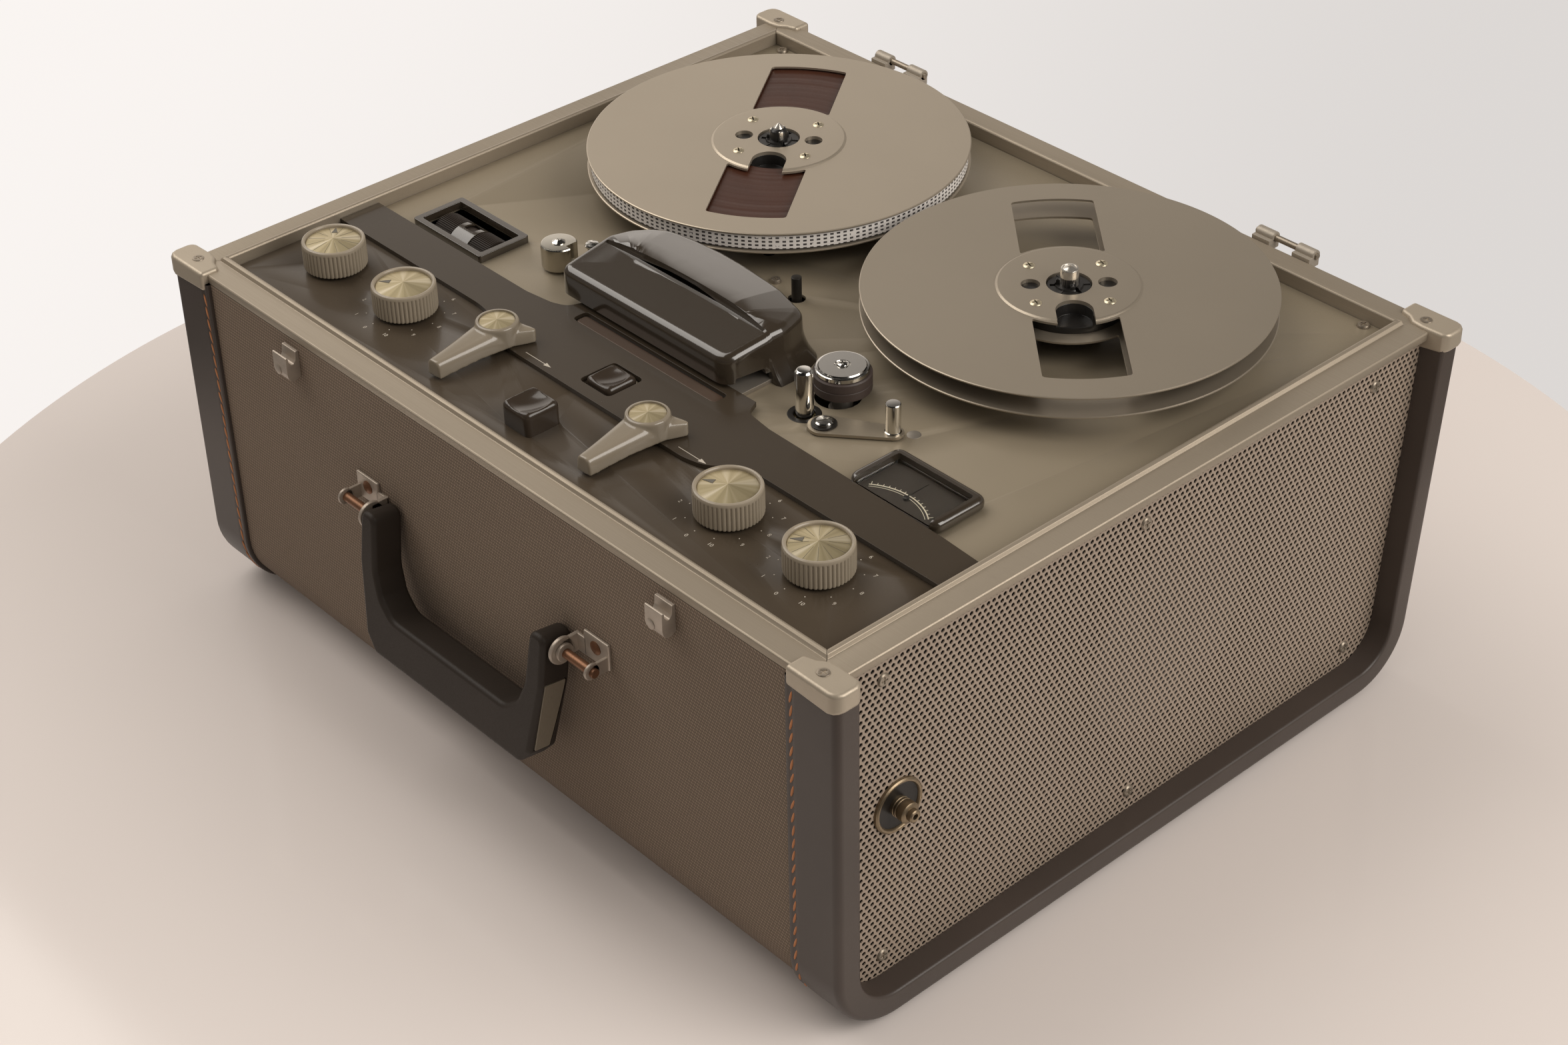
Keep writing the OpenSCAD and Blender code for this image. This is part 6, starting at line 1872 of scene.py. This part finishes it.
class RECORDER_OT_transport(bpy.types.Operator):
    """Capstan collar, pinch roller, tension arm, guide drum and posts"""

    bl_idname = "recorder.transport"
    bl_label = "Tape path"

    def execute(self, context):
        deck = DECK_TOP / MM
        roller = middle("pinch_roller") / MM
        base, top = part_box("pinch_roller")[0].z / MM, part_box("pinch_roller")[1].z / MM
        r = (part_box("pinch_roller")[1].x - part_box("pinch_roller")[0].x) / MM / 2
        tyre = lathe_mm("pinch_tyre", [(3.1, base), (r - 0.6, base), (r - 0.1, base + 0.4), (r, base + 1.2),
                                       (r, base + 3.9),
                                      (r - 0.25, base + 4.1), (r - 0.25, base + 4.4), (r, base + 4.6),
                                      (r, top - 0.5), (r - 0.5, top), (3.1, top)],
                        roller.x, roller.y, 96)
        fit(tyre, "pinch_wheel", FINISH["roller"], ("pinch_roller",), 35)
        cap = lathe_mm("pinch_cap", [(0, top), (r - 1.3, top), (r - 1.0, top + 0.3), (r - 1.0, top + 1.9),
                                     (r - 1.4, top + 2.2), (r - 2.2, top + 2.3),
                                    (r - 2.6, top + 2.8), (3.4, top + 2.8), (3.2, top + 2.5),
                                    (0, top + 2.5)], roller.x, roller.y, 96)
        button = cross_screw("cap_screw", 2.5, 1.1)
        set_down(button, roller.x, roller.y, 30, top + 2.6)
        fit(cap, "pinch_wheel", FINISH["chrome"], ("pinch_disc",), 25)
        fit(button, "pinch_wheel", FINISH["chrome"], (), 35)
        self.tension(deck)
        self.guides(deck)
        self.collar(deck)
        return {"FINISHED"}

    def tension(self, deck):
        """Flat arm with round ends, its slotted pivot screw and the bright post."""
        ax, ay, reach, turn = 81.0, FRONT_Y / MM + 118.5, 28.5, 35
        outline = ring_arc(7.0, 97, 263, 20) + ring_arc(4.6, -83, 83, 16, (reach, 0))
        arm = prism("tension_plate", outline, deck + 0.45, deck + 1.95)
        bevel(arm, 0.25 * MM, 2, 50)
        set_down(arm, ax, ay, turn)
        fit(arm, "tension", FINISH["arm"], ("tension_arm",), 40)
        washer = lathe_mm("tension_washer",
                          [(0, deck - 7.5), (2.5, deck - 7.5), (2.5, deck + 0.42), (5.6, deck + 0.42),
                           (5.6, deck + 0.44),
                                            (2.5, deck + 0.46), (2.5, deck + 1.9), (5.4, deck + 1.96),
                                            (5.4, deck + 2.5), (4.9, deck + 2.75), (0, deck + 2.75)], ax,
                                            ay, 48)
        fit(washer, "tension", FINISH["black"], (), 35)
        screw = lathe_mm("tension_screw",
                         [(0, deck + 2.7), (3.9, deck + 2.7), (3.9, deck + 3.5), (3.3, deck + 4.0),
                          (0, deck + 4.15)], 0, 0, 48)
        slot = box("slot", (-5 * MM, -0.4 * MM, (deck + 3.4) * MM), (5 * MM, 0.4 * MM, (deck + 6) * MM))
        cut(screw, slot)
        set_down(screw, ax, ay, 60)
        fit(screw, "tension", FINISH["chrome"], (), 35)
        bx, by = ax + reach * math.cos(math.radians(turn)), ay + reach * math.sin(math.radians(turn))
        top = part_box("tension_arm")[1].z / MM
        post = lathe_mm("tension_post",
                        [(0, deck + 0.6), (3.6, deck + 0.6), (3.6, deck + 2.4), (3.2, deck + 2.7),
                         (3.2, top - 0.5), (2.9, top - 0.1), (0, top)], bx, by, 48)
        fit(post, "tension", FINISH["chrome"], (), 35)

    def guides(self, deck):
        """Big drum with a raised screw at the left, and the screw post beside it."""
        gx, gy = -95.5, FRONT_Y / MM + 122.5
        drum = lathe_mm("guide_drum", [(0, deck + 0.05), (5.2, deck + 0.05), (5.2, deck + 1.2),
                                       (8.0, deck + 1.3), (8.2, deck + 1.6), (8.2, deck + 11.8),
                                      (7.8, deck + 12.3), (7.2, deck + 12.45), (0, deck + 12.5)], gx, gy,
                                      96)
        cut(drum, box("flat", ((gx + 5.1) * MM, gy * MM, (deck + 3.5) * MM),
                      ((gx + 12) * MM, (gy + 12) * MM, (deck + 20) * MM)))
        fit(drum, "case", FINISH["guide"], ("tape_guides",), 30)
        button = lathe_mm("guide_button",
                          [(0, deck + 12.4), (3.0, deck + 12.4), (3.0, deck + 12.8), (1.1, deck + 13.9),
                           (0.8, deck + 13.9), (0.7, deck + 13.4), (0, deck + 13.4)], gx, gy, 48)
        px, py = -83.0, FRONT_Y / MM + 131.5
        post = lathe_mm("guide_post", [(0, deck + 0.05), (2.2, deck + 0.05), (2.2, deck + 11.6),
                                       (3.2, deck + 11.9), (3.3, deck + 12.6), (2.9, deck + 13.3),
                                       (1.2, deck + 13.7), (0, deck + 13.7)], 0, 0, 40)
        cut(post, box("slot", (-5 * MM, -0.35 * MM, (deck + 12.9) * MM),
                      (5 * MM, 0.35 * MM, (deck + 16) * MM)))
        set_down(post, px, py, 20)
        fit(button, "case", FINISH["chrome"], (), 30)
        fit(post, "case", FINISH["chrome"], ("tape_guides",), 30)

    def collar(self, deck):
        """Dark ring in the deck round the capstan."""
        at = middle("capstan") / MM
        ring = lathe_mm("capstan_ring",
                        [(4.6, deck - 0.4), (7.2, deck - 0.4), (7.2, deck + 0.12), (6.8, deck + 0.3),
                         (5.0, deck + 0.3), (4.6, deck)], at.x, at.y, 48)
        close_up(ring)
        fit(ring, "case", FINISH["black"], (), 35)


class RECORDER_OT_sockets(bpy.types.Operator):
    """Input socket with its ring, and the mains inlet on the other side"""

    bl_idname = "recorder.sockets"
    bl_label = "Side sockets"

    def execute(self, context):
        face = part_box("side_grilles")[1].x
        place = Vector((face, SOCKET_Y, SOCKET_Z))
        rim = [(10.3, 0.05), (10.4, 0.9), (10.9, 1.5), (11.7, 1.6), (12.3, 1.1), (12.5, 0.05), (10.3, 0.05)]
        plug = [(0, 4.0), (1.3, 4.0), (1.3, 9.9), (2.3, 10.0), (2.8, 9.6), (2.8, 7.7), (4.0, 7.4),
                (4.6, 6.9), (4.6, 4.2), (4.2, 3.9),
                (4.2, 3.3), (4.5, 3.1), (4.5, 2.7), (4.2, 2.5), (4.2, 1.9), (4.5, 1.7), (4.5, 1.3),
                (4.2, 1.1), (4.2, -8.0), (0, -8.0)]
        dish = [(0, 0.12), (8.8, 0.12), (10.2, 0.5), (10.5, 0.5), (10.5, -0.4), (0, -0.4)]
        made = []
        for name, profile in (("socket_rim", rim), ("socket_plug", plug), ("socket_dish", dish)):
            part = turned(name, [(r * MM, z * MM) for r, z in profile], steps=72)
            made.append(stand(part, TO_RIGHT, place))
        fit(join(made[:2], "input_socket"), "case", FINISH["socket"], ("side_sockets",), 35)
        fit(made[2], "case", FINISH["black"], (), 35)
        inlet_at = Vector((-face, 178 * MM - 46 * MM, 56 * MM))
        plate = turned("mains_inlet", [(r * MM, z * MM) for r, z in (
            (0, -6.0), (5.2, -6.0), (5.4, -2), (5.6, 1.6), (9.0, 1.6), (9.3, 2.0), (13.6, 2.0), (14.0, 1.6),
            (14.0, 0.05), (7.6, 0.05), (7.6, -8.0), (0, -8.0))], steps=64)
        stand(plate, TO_LEFT, inlet_at)
        pins = []
        for y in (-3.5, 3.5):
            pin = rod("pin", (y * MM, 0, -6.5 * MM), 1.0 * MM, 7 * MM, 20, "Z", 0.3 * MM)
            pins.append(stand(pin, TO_LEFT, inlet_at))
        fit(plate, "case", FINISH["black"], ("side_sockets",), 35)
        fit(join(pins, "inlet_pins"), "case", FINISH["socket"], (), 35)
        return {"FINISHED"}


class RECORDER_OT_hinges(bpy.types.Operator):
    """Lid hinge halves: two short barrels and a bare pin between them"""

    bl_idname = "recorder.hinges"
    bl_label = "Lid hinges"

    def execute(self, context):
        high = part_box("lid_hinges")[1]
        y, z, radius = high.y / MM - 2.7, high.z / MM - 2.7, 2.7
        barrels, pins = [], []
        for x in (-123.7, 121.2):
            for side in (-1, 1):
                start = x + (6.3 if side > 0 else -16.3)
                barrels.append(rod("barrel", (start * MM, y * MM, z * MM), radius * MM, 10 * MM, 40, "X",
                                   0.5 * MM))
                barrels.append(box("leaf", (start * MM, 178.05 * MM, 170.2 * MM),
                                   ((start + 10) * MM, (y + 2.2) * MM, z * MM), 0.4 * MM))
            pins.append(rod("pin", ((x - 17.4) * MM, y * MM, z * MM), 1.5 * MM, 34.8 * MM, 24, "X",
                            0.7 * MM))
        fit(join(barrels, "hinge_barrels"), "case", FINISH["hinge"], ("lid_hinges",), 25)
        fit(join(pins, "hinge_pins"), "case", FINISH["screw"], (), 35)
        return {"FINISHED"}


OPERATORS = (
    RECORDER_OT_stage,
    RECORDER_OT_solids,
    RECORDER_OT_cloth,
    RECORDER_OT_leather,
    RECORDER_OT_grilles,
    RECORDER_OT_caps,
    RECORDER_OT_cover,
    RECORDER_OT_knobs,
    RECORDER_OT_levers,
    RECORDER_OT_buttons,
    RECORDER_OT_reels,
    RECORDER_OT_tape,
    RECORDER_OT_handle,
    RECORDER_OT_strip,
    RECORDER_OT_marks,
    RECORDER_OT_meter,
    RECORDER_OT_counter,
    RECORDER_OT_transport,
    RECORDER_OT_sockets,
    RECORDER_OT_hinges,
)


class RECORDER_PT_panel(bpy.types.Panel):
    """Buttons for the recorder's pieces"""

    bl_label = "Tape Recorder"
    bl_idname = "RECORDER_PT_panel"
    bl_space_type = "VIEW_3D"
    bl_region_type = "UI"
    bl_category = "Recorder"

    def draw(self, context):
        for kind in OPERATORS:
            self.layout.operator(kind.bl_idname)
        colours = context.scene.recorder_colours
        for name in RecorderColours.__annotations__:
            self.layout.prop(colours, name)
        for name in RecorderSizes.__annotations__:
            self.layout.prop(context.scene.recorder_sizes, name)


CLASSES = (RecorderColours, RecorderSizes, *OPERATORS, RECORDER_PT_panel)


def register():
    for kind in CLASSES:
        bpy.utils.register_class(kind)
    bpy.types.Scene.recorder_colours = PointerProperty(type=RecorderColours)
    bpy.types.Scene.recorder_sizes = PointerProperty(type=RecorderSizes)


def unregister():
    del bpy.types.Scene.recorder_sizes
    del bpy.types.Scene.recorder_colours
    for kind in reversed(CLASSES):
        bpy.utils.unregister_class(kind)


def main():
    register()
    for kind in OPERATORS:
        group, name = kind.bl_idname.split(".")
        getattr(getattr(bpy.ops, group), name)()


if __name__ == "__main__":
    main()
